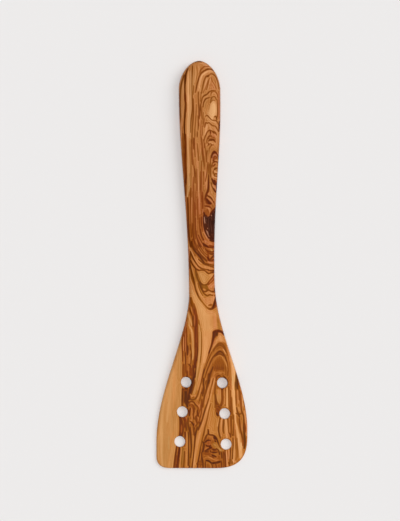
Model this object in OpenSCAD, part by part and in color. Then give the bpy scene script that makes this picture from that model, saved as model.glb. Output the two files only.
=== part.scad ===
// Perforated spatula, carved from one board of olive wood.
// It lies on its flat back: +Y runs from the working edge to the tip of the grip,
// +Z comes out of the front face, and the origin is under the middle of the spatula.

/* [Outline] */
// Length from the working edge to the tip of the grip
spatula_l = 300; // [270:5:350]
// Width across the widest part of the blade
blade_w = 66.8; // [58:0.2:84]
// Width across the narrowest part of the neck
neck_w = 18.8; // [14:0.2:24]
// Width across the widest part of the grip
grip_w = 30.6; // [24:0.2:40]
// Distance from the working edge to the narrowest part of the neck
neck_at = 139; // [125:1:165]
// How much nearer to the working edge the left side is narrowest
left_neck_lead = 12; // [0:1:20]
// Distance from the tip back to the widest part of the grip
grip_at = 30; // [26:1:45]
// Length of the rounded tip of the grip
tip_l = 21; // [14:1:24]
// How far the tip lies to the left of the neck's middle
tip_drift = 1.6; // [0:0.2:6]

/* [Blade corners] */
// Distance from the working edge to where the left side is widest
left_widest_at = 19; // [15:1:26]
// Distance from the working edge to where the right side is widest
right_widest_at = 28; // [26:1:40]
// How far the small left corner reaches across the working edge
left_corner_reach = 10; // [4:1:20]
// How far the small left corner rises along the side
left_corner_rise = 9; // [4:1:14]
// How far the large right corner reaches across the working edge
right_corner_reach = 25; // [8:1:30]
// How far the large right corner rises along the side
right_corner_rise = 25; // [8:1:26]

/* [Thickness] */
// Thickness at the working edge
edge_t = 2.4; // [1.6:0.1:4]
// Thickness at the neck
neck_t = 8.4; // [6:0.2:12]
// Thickness at the widest part of the grip
grip_t = 10.4; // [8:0.2:14]
// Reach of the rounding along the blade's sides
blade_round = 2.2; // [1.5:0.1:5]
// Reach of the rounding along the grip's sides
grip_round = 8.5; // [5:0.5:11.5]
// Length of the rounding along the working edge
edge_round = 1.4; // [0.8:0.1:3]
// Length over which the thickness rounds off to the tip
tip_round = 9; // [5:0.5:14]

/* [Holes] */
// Diameter of the drilled holes
hole_d = 8; // [5:0.5:10]
// Rows of holes, two holes to a row
hole_rows = 3; // [1:1:3]
// Distance from the working edge to the first row
first_row_at = 18.4; // [14:0.2:24]
// Distance from one row to the next
row_pitch = 22; // [16:0.2:24]
// Distance between the two holes of the first row
first_row_span = 34; // [26:0.2:36]
// Distance between the two holes of the last row
last_row_span = 26.6; // [20:0.2:30]
// Reach of the eased rim round each mouth of a hole
rim_ease = 0.4; // [0.2:0.1:0.8]

/* [Hidden] */

wood = [0.70, 0.44, 0.21];

// The hand-cut look: how full the curves are, and how the rows of holes lie
left_bias = 0.88;
right_bias = 1.07;
grip_bias = 1.3;
tip_power = 1.8;
left_corner_power = 2.5;
right_corner_power = 2.8;
blunt_share = 0.45;
first_row_slope_share = 0.056;
last_row_slope_share = 0.015;
first_row_shift_share = 0.021;
last_row_shift_share = 0.06;
row_power = 1.4;

// The back is planed flat: the loft runs this far below it, and the plane takes it off.
planed_off = 0.16;
overrun = 1;

// How far the rounding of a rim runs on inside the bore, and how much steeper than wide it is there
run_on = 0.06;
run_on_slope = 5;

// Steps of the loft and of the holes
arc_steps = 9;
arc_share = 0.49;
corner_steps = 14;
run_steps = 52;
tip_steps = 14;
hole_facets = 48;
ease_steps = 4;

left = -1;
right = 1;
left_neck_at = neck_at - left_neck_lead;
grip_from_edge = spatula_l - grip_at;
tip_from_edge = spatula_l - tip_l;
corner_zone = max(left_corner_rise, right_corner_rise);

function clamp(t) = min(1, max(0, t));
function ease(t) = let (c = clamp(t)) c * c * (3 - 2 * c);
function mix(a, b, t) = a + (b - a) * t;
// Height of a superellipse of unit size at the place t of its width
function round_off(t, power) = pow(max(0, 1 - pow(clamp(t), power)), 1 / power);

// Half width without the corners and the tip, s along from the working edge
function shoulder(s, narrow_at, widest_at, bias) =
    mix(neck_w, blade_w, pow(ease((narrow_at - s) / (narrow_at - widest_at)), bias)) / 2;
function handle(s, narrow_at) =
    mix(neck_w, grip_w, pow(ease((s - narrow_at) / (grip_from_edge - narrow_at)), grip_bias)) / 2;
function half_w(s, narrow_at, widest_at, bias) =
    s < narrow_at ? shoulder(s, narrow_at, widest_at, bias) : handle(s, narrow_at);
// Share of the width that the rounded tip leaves
function tip_share(s) = round_off((s - tip_from_edge) / tip_l, tip_power);
function corner_cut(s, reach, rise, power) = reach * (1 - round_off((rise - s) / rise, power));
// The grip leans a little to the left.
function centre_x(s) = -tip_drift * clamp((s - left_neck_at) / (spatula_l - left_neck_at));
function edge_x(s, side) = side == left
    ? centre_x(s) - half_w(s, left_neck_at, left_widest_at, left_bias) * tip_share(s)
        + corner_cut(s, left_corner_reach, left_corner_rise, left_corner_power)
    : centre_x(s) + half_w(s, neck_at, right_widest_at, right_bias) * tip_share(s)
        - corner_cut(s, right_corner_reach, right_corner_rise, right_corner_power);

// Thickness of the board before its rounded ends
function board_t(s) = s < neck_at
    ? mix(edge_t, neck_t, ease(s / neck_at))
    : mix(neck_t, grip_t, ease((s - neck_at) / (grip_from_edge - neck_at)));
function side_round(s) = mix(blade_round, grip_round, ease((s - neck_at / 2) / neck_at));
// Shares of the thickness that the blunt working edge and the domed tip leave
function edge_share(s) = mix(blunt_share, 1, round_off((edge_round - s) / edge_round, 2));
function dome_share(s) = round_off(1 - (spatula_l - s) / tip_round, 2);
function front_slope(s) = atan((board_t(s + overrun) - board_t(s - overrun)) / (2 * overrun));

// Stations along the body, close together round the corners and round the tip
stations = concat(
    [for (i = [0 : corner_steps - 1]) corner_zone * (1 - cos(90 * i / corner_steps))],
    [for (i = [0 : run_steps - 1]) mix(corner_zone, tip_from_edge, i / run_steps)],
    [for (i = [0 : tip_steps - 1]) tip_from_edge + tip_l * sin(90 * i / tip_steps)]);

// One cross-section, counter-clockwise as seen from the working edge
function section(s) =
    let (
        width = edge_x(s, right) - edge_x(s, left),
        reach = min(side_round(s), arc_share * width),
        mid_z = board_t(s) / 2,
        share = edge_share(s) * dome_share(s))
    [for (side = [right, left]) for (i = [-arc_steps : arc_steps])
        let (
            turn = side * 90 * i / arc_steps,
            rise = turn > 0 ? mid_z : mid_z + planed_off)
        [edge_x(s, side) - side * reach * (1 - cos(turn)),
         s - spatula_l / 2,
         mid_z + rise * share * sin(turn)]];

module blank() {
    ring = 2 * (2 * arc_steps + 1);
    last = len(stations) - 1;
    tip = [centre_x(spatula_l), spatula_l / 2, board_t(spatula_l) / 2];
    polyhedron(
        points = concat([for (s = stations) each section(s)], [tip]),
        faces = concat(
            [[for (i = [0 : ring - 1]) i]],
            [for (j = [0 : last - 1]) for (i = [0 : ring - 1])
                let (a = j * ring + i, b = j * ring + (i + 1) % ring)
                each [[a, a + ring, b], [b, a + ring, b + ring]]],
            [for (i = [0 : ring - 1])
                [last * ring + i, len(stations) * ring, last * ring + (i + 1) % ring]]));
}

// The plane that levels the back
module plane() {
    translate([-blade_w, -spatula_l, -grip_t]) cube([2 * blade_w, 2 * spatula_l, grip_t]);
}

// The rounded reamer that eases one mouth of a hole, with the face at zero. It is turned by
// half a facet, so that no edge of it runs along an edge of the bore.
module reamer() {
    wide = hole_d / 2 + rim_ease;
    depth = rim_ease + run_on_slope * run_on;
    rotate(180 / hole_facets) rotate_extrude($fn = hole_facets) polygon(concat(
        [[0, -overrun], [wide, -overrun]],
        [for (i = [0 : ease_steps - 1])
            let (turn = 90 * i / ease_steps)
            [wide - rim_ease * sin(turn), rim_ease * (1 - cos(turn))]],
        [[hole_d / 2 - run_on, depth], [0, depth]]));
}

// What is drilled and reamed away at a hole, s along from the working edge
module hole(s) {
    translate([0, 0, -overrun])
        cylinder(d = hole_d, h = board_t(s) + 2 * overrun, $fn = hole_facets);
    reamer();
    translate([0, 0, board_t(s)]) rotate([front_slope(s), 0, 0]) mirror([0, 0, 1]) reamer();
}

module holes() {
    for (row = [0 : hole_rows - 1], side = [left, right]) {
        share = hole_rows > 1 ? pow(row / (hole_rows - 1), row_power) : 0;
        span = mix(first_row_span, last_row_span, share);
        drop = span * mix(first_row_slope_share, last_row_slope_share, share) / 2;
        shift = span * mix(first_row_shift_share, last_row_shift_share, share);
        s = first_row_at + row * row_pitch - side * drop;
        translate([shift + side * span / 2, s - spatula_l / 2, 0]) hole(s);
    }
}

module spatula() {
    color(wood) difference() {
        blank();
        plane();
        holes();
    }
}

spatula();
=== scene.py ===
# Perforated spatula in olive wood, lying on its flat back on a pale floor.
import math

import bmesh
import bpy
import numpy as np
from mathutils import Matrix, Vector


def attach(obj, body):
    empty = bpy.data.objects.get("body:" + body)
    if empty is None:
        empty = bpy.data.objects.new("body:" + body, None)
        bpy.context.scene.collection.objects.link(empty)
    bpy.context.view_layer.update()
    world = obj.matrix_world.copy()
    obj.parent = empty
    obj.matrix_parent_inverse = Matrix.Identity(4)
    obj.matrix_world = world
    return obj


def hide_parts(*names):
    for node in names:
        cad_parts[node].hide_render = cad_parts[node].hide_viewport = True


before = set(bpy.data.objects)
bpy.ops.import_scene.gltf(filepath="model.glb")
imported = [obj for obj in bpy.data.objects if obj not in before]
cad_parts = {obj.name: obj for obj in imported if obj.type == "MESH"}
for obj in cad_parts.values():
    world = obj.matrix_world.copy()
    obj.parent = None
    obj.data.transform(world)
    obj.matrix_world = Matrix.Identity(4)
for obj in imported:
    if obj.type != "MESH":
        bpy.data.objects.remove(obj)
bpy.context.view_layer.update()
mm = 0.001
weld = 1e-5  # points closer than this are one, in millimetres
tiny = 1e-9

# Body: the sizes of the carved blank, in millimetres from the working edge
body = {
    "length": 300.0,
    "bladeWidth": 66.8,
    "neckWidth": 18.8,
    "gripWidth": 30.6,
    "neckAt": 139.0,
    "leftNeckAt": 127.0,
    "gripAt": 270.0,
    "tipLength": 21.0,
    "tipPower": 1.8,
    "tipDrift": 1.6,
    "leftWidestAt": 19.0,
    "rightWidestAt": 28.0,
    "leftCorner": (10.0, 9.0, 2.5),  # reach across, rise along the side, fullness
    "rightCorner": (25.0, 25.0, 2.8),
    "leftBias": 0.88,
    "rightBias": 1.07,
    "gripBias": 1.3,
    "edgeThickness": 2.4,
    "neckThickness": 8.4,
    "gripThickness": 10.4,
    "bladeRound": 2.2,
    "gripRound": 8.5,
    "widestRound": 0.49,  # a side's rounding takes at most this share of the width
    "edgeRound": 1.4,
    "tipRound": 9.0,
    "bluntShare": 0.45,
    "planedOff": 0.16,
    "stations": 560,  # sections along the body
    "cornerZone": 12.0,  # sections stand closer from the working edge up to here
    "cornerStations": 40,
    "tipStations": 44,
    "frontSteps": 46,  # points on each half of the front
    "backSteps": 18,  # points on each half of the back
    "roundCrowding": 1.3,  # points stand closer on the rounding than on the flat
    "leastRoundShare": 0.2,
    "closer": (1.5, 116.0),  # between these the front has twice the points across
    "frontFrom": 0.9,  # share of the thickness above which a point counts as front
}

# Holes: rows from the working edge up, two to a row
holes = {
    "diameter": 8.0,
    "rows": 3,
    "firstRowAt": 18.4,
    "rowPitch": 22.0,
    "spans": (34.0, 26.6),  # in the first and the last row, as are the next two
    "slopes": (0.056, 0.015),
    "shifts": (0.021, 0.06),
    "rowPower": 1.4,
    "rimEase": 0.4,
    "facets": 64,
    "easeSteps": 6,
    "overrun": 1.0,
}


def clamp(t):
    return min(1.0, max(0.0, t))


def ease(t):
    t = clamp(t)
    return t * t * (3 - 2 * t)


def mix(a, b, t):
    return a + (b - a) * t


def roundOff(t, power):
    return max(0.0, 1 - clamp(t) ** power) ** (1 / power)


def halfWidth(s, narrowAt, widestAt, bias):
    if s < narrowAt:
        share = ease((narrowAt - s) / (narrowAt - widestAt)) ** bias
        return mix(body["neckWidth"], body["bladeWidth"], share) / 2
    share = ease((s - narrowAt) / (body["gripAt"] - narrowAt)) ** body["gripBias"]
    return mix(body["neckWidth"], body["gripWidth"], share) / 2


def cornerCut(s, corner):
    reach, rise, power = corner
    return reach * (1 - roundOff((rise - s) / rise, power))


# left and right edge of the outline
def edges(s):
    tipFrom = body["length"] - body["tipLength"]
    tip = roundOff((s - tipFrom) / body["tipLength"], body["tipPower"])
    lean = clamp((s - body["leftNeckAt"]) / (body["length"] - body["leftNeckAt"]))
    middle = -body["tipDrift"] * lean
    leftHalf = halfWidth(s, body["leftNeckAt"], body["leftWidestAt"], body["leftBias"])
    rightHalf = halfWidth(s, body["neckAt"], body["rightWidestAt"], body["rightBias"])
    left = middle - leftHalf * tip + cornerCut(s, body["leftCorner"])
    right = middle + rightHalf * tip - cornerCut(s, body["rightCorner"])
    return left, right


def boardThickness(s):
    if s < body["neckAt"]:
        return mix(body["edgeThickness"], body["neckThickness"], ease(s / body["neckAt"]))
    share = ease((s - body["neckAt"]) / (body["gripAt"] - body["neckAt"]))
    return mix(body["neckThickness"], body["gripThickness"], share)


def sideRound(s):
    share = ease((s - body["neckAt"] / 2) / body["neckAt"])
    return mix(body["bladeRound"], body["gripRound"], share)


# share of the thickness that the blunt working edge and the domed tip leave
def endShare(s):
    edge = mix(body["bluntShare"], 1, roundOff((body["edgeRound"] - s) / body["edgeRound"], 2))
    return edge * roundOff(1 - (body["length"] - s) / body["tipRound"], 2)


# sections close together round the corners and round the tip
def stationList():
    cornerZone, tipFrom = body["cornerZone"], body["length"] - body["tipLength"]
    corner, tip = body["cornerStations"], body["tipStations"]
    run = body["stations"] - corner - tip
    near = [cornerZone * (1 - math.cos(math.pi / 2 * i / corner)) for i in range(corner)]
    along = [mix(cornerZone, tipFrom, i / run) for i in range(run)]
    far = [tipFrom + body["tipLength"] * math.sin(math.pi / 2 * i / tip) for i in range(tip + 1)]
    return near + along + far


# across and up, from the middle of a face at q = 0 to the rim at q = 1
def halfSection(q, half, reach, height):
    flat = half - reach
    arc = body["roundCrowding"] * math.hypot(reach, height)
    arcShare = max(body["leastRoundShare"], arc / max(arc + flat, tiny))
    if q < 1 - arcShare:
        return flat * q / (1 - arcShare), height
    turn = math.pi / 2 * (q - 1 + arcShare) / arcShare
    return flat + reach * math.sin(turn), height * math.cos(turn)


# place of one step of the ring round the body
def ringPlace(step, s):
    front, back = body["frontSteps"], body["backSteps"]
    left, right = edges(s)
    half = (right - left) / 2
    reach = min(sideRound(s), body["widestRound"] * 2 * half)
    middle, share = boardThickness(s) / 2, endShare(s)
    up, down = middle * share, (middle + body["planedOff"]) * share
    if step <= back:
        side, face, q = 1, -1, step / back
    elif step <= back + front:
        side, face, q = 1, 1, 1 - (step - back) / front
    elif step <= back + 2 * front:
        side, face, q = -1, 1, (step - back - front) / front
    else:
        side, face, q = -1, -1, 1 - (step - back - 2 * front) / back
    across, high = halfSection(q, half, reach, up if face > 0 else down)
    z = max(0.0, middle + face * high)
    return Vector(((left + right) / 2 + side * across, s - body["length"] / 2, z))


# edges across the front of the blade, where the figure is finest
def crossesFront(edge):
    low, high = body["closer"]
    first, second = edge.verts
    s = first.co.y + body["length"] / 2
    front = boardThickness(s) * body["frontFrom"]
    isAcross = abs(first.co.y - second.co.y) < 10 * weld
    return isAcross and low < s < high and min(first.co.z, second.co.z) > front


def carveBlank():
    stations = stationList()
    ring = 2 * (body["frontSteps"] + body["backSteps"])
    bm = bmesh.new()
    bmesh.ops.create_grid(bm, x_segments=ring, y_segments=len(stations) - 1, size=0.5)
    for v in bm.verts:
        step = round((v.co.x + 0.5) * ring) % ring
        station = round((v.co.y + 0.5) * (len(stations) - 1))
        v.co = ringPlace(step, stations[station])
    bmesh.ops.remove_doubles(bm, verts=bm.verts, dist=weld)
    bmesh.ops.holes_fill(bm, edges=[e for e in bm.edges if e.is_boundary], sides=0)
    bmesh.ops.subdivide_edges(bm, cuts=1, edges=[e for e in bm.edges if crossesFront(e)])
    bmesh.ops.recalc_face_normals(bm, faces=bm.faces)
    return bm


def holePlaces():
    for row in range(holes["rows"]):
        share = (row / (holes["rows"] - 1)) ** holes["rowPower"]
        span = mix(*holes["spans"], share)
        drop = span * mix(*holes["slopes"], share) / 2
        shift = span * mix(*holes["shifts"], share)
        for side in (-1, 1):
            yield shift + side * span / 2, holes["firstRowAt"] + row * holes["rowPitch"] - side * drop


# drills whose ends flare into the reamers that ease both mouths of each hole
def drillBits():
    bits = bmesh.new()
    radius, rim, overrun = holes["diameter"] / 2, holes["rimEase"], holes["overrun"]
    turns = [math.pi / 2 * i / holes["easeSteps"] for i in range(holes["easeSteps"] + 1)]
    lower = [(radius + rim * (1 - math.sin(t)), rim * (1 - math.cos(t))) for t in turns]
    for x, s in holePlaces():
        thickness = boardThickness(s)
        slope = (boardThickness(s + 1) - boardThickness(s - 1)) / 2  # of the front face
        upper = [(r, thickness - z) for r, z in reversed(lower)]
        outline = [(0, -overrun), (radius + rim, -overrun), *lower, *upper]
        outline += [(radius + rim, thickness + overrun), (0, thickness + overrun)]
        bit = bmesh.new()
        verts = [bit.verts.new((r, 0, z)) for r, z in outline]
        for a, b in zip(verts, verts[1:]):
            bit.edges.new((a, b))
        bmesh.ops.spin(
            bit, geom=bit.verts[:] + bit.edges[:], axis=(0, 0, 1), cent=(0, 0, 0),
            angle=2 * math.pi, steps=holes["facets"], use_merge=True)
        bmesh.ops.remove_doubles(bit, verts=bit.verts, dist=weld)
        bmesh.ops.recalc_face_normals(bit, faces=bit.faces)
        for v in bit.verts:
            if v.co.z > thickness / 2:
                v.co.z += slope * v.co.y
        bmesh.ops.translate(bit, verts=bit.verts, vec=(x, s - body["length"] / 2, 0))
        spare = bpy.data.meshes.new("bit")
        bit.to_mesh(spare)
        bits.from_mesh(spare)
        bpy.data.meshes.remove(spare)
        bit.free()
    return bits


def addToScene(name, data):
    thing = bpy.data.objects.new(name, data)
    bpy.context.scene.collection.objects.link(thing)
    return thing


def toObject(bm, name):
    mesh = bpy.data.meshes.new(name)
    bm.to_mesh(mesh)
    bm.free()
    return addToScene(name, mesh)


def makeSpatula():
    piece = toObject(carveBlank(), "olive_wood_spatula")
    drills = toObject(drillBits(), "drills")
    cut = piece.modifiers.new("holes", "BOOLEAN")
    cut.object, cut.operation, cut.solver = drills, "DIFFERENCE", "EXACT"
    drilled = bpy.data.meshes.new_from_object(
        piece.evaluated_get(bpy.context.evaluated_depsgraph_get()))
    piece.modifiers.clear()
    piece.data = drilled
    bpy.data.objects.remove(drills)
    drilled.transform(Matrix.Scale(mm, 4))
    drilled.shade_smooth()
    return piece


spatula = makeSpatula()
print("spatula carved and drilled:", len(spatula.data.vertices), "points")

# Figure: the growth that shows on the front face, drawn as strokes and patches, with painted shade along
# the left edge of the grip head and round its tip.
# A stroke is a tone, a warmth and the places it runs through, each as across, along and width.
# A patch has the places round it, and its softness at the end. Lengths are in tenths of a
# millimetre, tones go from 0 dark to 100 pale, and warmths from 0 olive over 50 amber and
# 100 russet to 200 for the knot.
brush = {
    "bare": (0.58, 0.38),  # share of tone and of warmth where nothing is drawn
    "strokeStep": 0.8,  # millimetres between the points of a curve
    "patchStep": 1.0,
    "strokeReach": (0.8, 5.0),  # how far out a stroke is worked out: in widths, and millimetres more
    "patchReach": 3.0,  # and a patch, in softnesses
    "strokeFall": 2.6,  # how suddenly a stroke ends at its sides
    "patchFall": 1.2,
    "lineBelow": 45,  # strokes darker than this are lines, with rings beside them
    "noLine": 5.0,  # distance to the nearest line where there is none
}


def alongCurve(places, step):
    p = np.array([places[0], *places, places[-1]])
    out = []
    for a, b, c, d in zip(p, p[1:], p[2:], p[3:]):
        n = max(2, int(np.hypot(*(c - b)[:2]) / step))
        t = np.arange(n)[:, None] / n
        out.append(0.5 * (2 * b + (c - a) * t + (2 * a - 5 * b + 4 * c - d) * t * t
                          + (3 * b - a - 3 * c + d) * t ** 3))
    out.append(p[-1:])
    return np.vstack(out)


def nearCurve(across, along, curve, reach):
    low, high = curve[:, :2].min(0) - reach, curve[:, :2].max(0) + reach
    near = np.flatnonzero((across > low[0]) & (across < high[0]) & (along > low[1]) & (along < high[1]))
    return near, np.stack((across[near], along[near]), 1)


# share of the way along one run of a curve, and distance from it
def besideRun(spot, start, run):
    t = np.clip(((spot - start) @ run) / max(run @ run, tiny), 0, 1)
    return t, np.hypot(*(spot - start - t[:, None] * run).T)


def strokeMask(across, along, places):
    curve = alongCurve(places, brush["strokeStep"])
    widths, more = brush["strokeReach"]
    near, spot = nearCurve(across, along, curve, curve[:, 2].max() * widths + more)
    best = np.full(len(near), np.inf)
    gap = np.full(len(near), np.inf)
    for a, b in zip(curve, curve[1:]):
        t, away = besideRun(spot, a[:2], b[:2] - a[:2])
        wide = (a[2] + (b[2] - a[2]) * t) / 2
        best = np.minimum(best, away / wide)
        gap = np.minimum(gap, away - wide)
    return near, 0.5 ** best ** brush["strokeFall"], gap


def patchMask(across, along, places, soft):
    ring = alongCurve([*places, places[0]], brush["patchStep"])
    near, spot = nearCurve(across, along, ring, soft * brush["patchReach"])
    best = np.full(len(near), np.inf)
    inside = np.zeros(len(near), bool)
    for a, b in zip(ring, np.roll(ring, -1, 0)):
        run = b - a
        best = np.minimum(best, besideRun(spot, a, run)[1])
        passes = (a[1] > spot[:, 1]) != (b[1] > spot[:, 1])
        rise = run[1] if abs(run[1]) > tiny else tiny
        inside ^= passes & (spot[:, 0] < a[0] + run[0] * (spot[:, 1] - a[1]) / rise)
    signed = np.where(inside, best, -best)
    return near, 0.5 + 0.5 * np.tanh(signed / soft * brush["patchFall"])


# tone and warmth at each point, and how far it is from the edge of a line, above zero inside it
def paint(across, along, strokes):
    tone, warmth = (np.full_like(across, value) for value in brush["bare"])
    line = np.full_like(across, -brush["noLine"])
    for t, w, places, *soft in strokes:
        places = np.array(places) / 10
        if soft:
            near, m = patchMask(across, along, places, soft[0] / 10)
        else:
            near, m, gap = strokeMask(across, along, places)
            isLine = t < brush["lineBelow"]
            line[near] = np.maximum(line[near], -gap) if isLine else np.minimum(line[near], gap)
        tone[near] += (t / 100 - tone[near]) * m
        warmth[near] += (w / 100 - warmth[near]) * m
    return tone, warmth, line


# broad tones under everything else
ground = [
    (52, 36, [(-220, 2620), (220, 2620), (220, 2360), (140, 2100), (130, 1500), (-130, 1500), (-130, 2100),
     (-220, 2400)], 60),
    (36, 78, [(-50, 2060), (80, 2060), (90, 1900), (40, 1720), (-30, 1560), (-120, 1560),
     (-130, 2000)], 90),
    (50, 40, [(0, 2460), (140, 2460), (140, 2040), (40, 1960), (10, 2150)], 30),
    (46, 80, [(-100, 1720), (20, 1700), (120, 1640), (120, 1500), (30, 1510), (-50, 1580),
     (-100, 1640)], 20),
    (60, 75, [(-100, 1580), (-40, 1520), (20, 1490), (120, 1480), (120, 1260), (20, 1300), (-40, 1420),
     (-100, 1500)], 20),
    (68, 56, [(-100, 1410), (-50, 1340), (30, 1190), (100, 1180), (140, 1280), (220, 1040), (200, 840),
     (-20, 840), (-60, 1120), (-100, 1280)], 20),
    (52, 50, [(106, 900), (124, 924), (146, 924), (166, 896), (184, 854), (206, 780), (220, 700),
     (240, 600), (15, 600), (26, 690), (54, 770), (80, 846)], 10),
    (52, 50, [(-146, 580), (-80, 620), (-46, 640), (-10, 680), (24, 700), (96, 660), (280, 660), (300, 520),
     (330, 380), (340, 260), (340, 100), (240, -60), (-220, -60), (-190, 120), (-156, 340)], 10),
    (57, 58, [(156, 600), (280, 660), (300, 520), (330, 380), (340, 260), (340, 100), (260, -20), (170, 20),
     (160, 100), (150, 180), (130, 240), (120, 310), (134, 380), (154, 460)], 8),
    (64, 50, [(50, 600), (74, 660), (98, 620), (96, 500), (102, 420), (112, 360), (130, 260), (80, 236),
     (46, 260), (36, 340), (44, 420), (46, 520)], 8),
    (24, 75, [(-142, 780), (-106, 760), (-86, 764), (-76, 730), (-56, 740), (-52, 660), (-68, 580),
     (-86, 500), (-144, 500)], 5),
    (69, 30, [(-100, 900), (-146, 960), (-200, 920), (-400, 600), (-400, -80), (-215, -80), (-204, 40),
     (-190, 160), (-164, 280), (-149, 420), (-146, 620), (-144, 760), (-140, 880), (-124, 1040)], 5),
    (42, 55, [(-100, 500), (-40, 490), (4, 520), (14, 460), (6, 380), (-24, 300), (-42, 240), (-116, 260),
     (-126, 340), (-106, 400)], 8),
    (40, 52, [(10, 200), (46, 224), (86, 214), (114, 164), (144, 106), (172, 106), (174, 0), (120, -40),
     (0, -40), (-14, 60)], 8),
]

# blade between the last row of holes and the neck
bladeTop = [
    (78, 54, [(-26, 1040), (-4, 980), (2, 880), (-4, 780), (-22, 680), (-44, 600), (-24, 600), (2, 700),
     (22, 780), (44, 860), (66, 930), (80, 990), (86, 1040)], 8),
    (84, 56, [(26, 960, 18), (30, 900, 26), (28, 840, 26), (18, 780, 16)]),
    (72, 88, [(96, 1120, 12), (96, 1070, 24), (92, 1030, 16)]),
    (52, 20, [(110, 1140, 8), (118, 1090, 12), (125, 1050, 18), (130, 1024, 16)]),
    (34, 30, [(-22, 1090, 5), (-18, 1050, 8), (-14, 1016, 8)]),
    (74, 30, [(-22, 1000, 9), (-19, 920, 12), (-18, 840, 12), (-24, 760, 12), (-32, 700, 13),
     (-42, 640, 12)]),
    (50, 30, [(-3, 1030, 6), (-2, 960, 9), (-2, 890, 9), (-6, 820, 9), (-14, 760, 10), (-24, 700, 10),
     (-34, 640, 10), (-42, 600, 8)]),
    (76, 75, [(-8, 700, 10), (-20, 650, 16), (-32, 600, 12)]),
    (44, 80, [(-72, 800, 8), (-70, 760, 9), (-76, 720, 12), (-84, 700, 10)]),
    (36, 90, [(-88, 736, 8), (-84, 704, 10), (-88, 684, 8)]),
    (16, 80, [(-98, 710, 9), (-98, 686, 10)]),
    (14, 80, [(-62, 730, 8), (-70, 670, 12), (-78, 640, 12)]),
    (10, 100, [(90, 1000, 16), (104, 1006, 15), (120, 1007, 12), (134, 1004, 10), (148, 1003, 11),
     (158, 992, 11), (163, 980, 7)]),
    (10, 120, [(109, 998, 16), (110, 984, 16), (113, 974, 8)]),
    (12, 95, [(88, 1000, 14), (87, 976, 16), (84, 950, 14), (73, 904, 10), (58, 854, 9), (42, 800, 8),
     (24, 744, 8), (15, 716, 8), (1, 654, 8), (-6, 620, 8)]),
    (74, 85, [(134, 988, 14), (138, 966, 24), (132, 946, 14)]),
    (80, 72, [(208, 830, 9), (216, 796, 18), (226, 756, 22), (232, 714, 22), (233, 666, 19),
     (232, 610, 16)]),
    (14, 80, [(244, 736, 7), (254, 670, 14), (260, 634, 18), (265, 590, 16)]),
]

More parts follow.
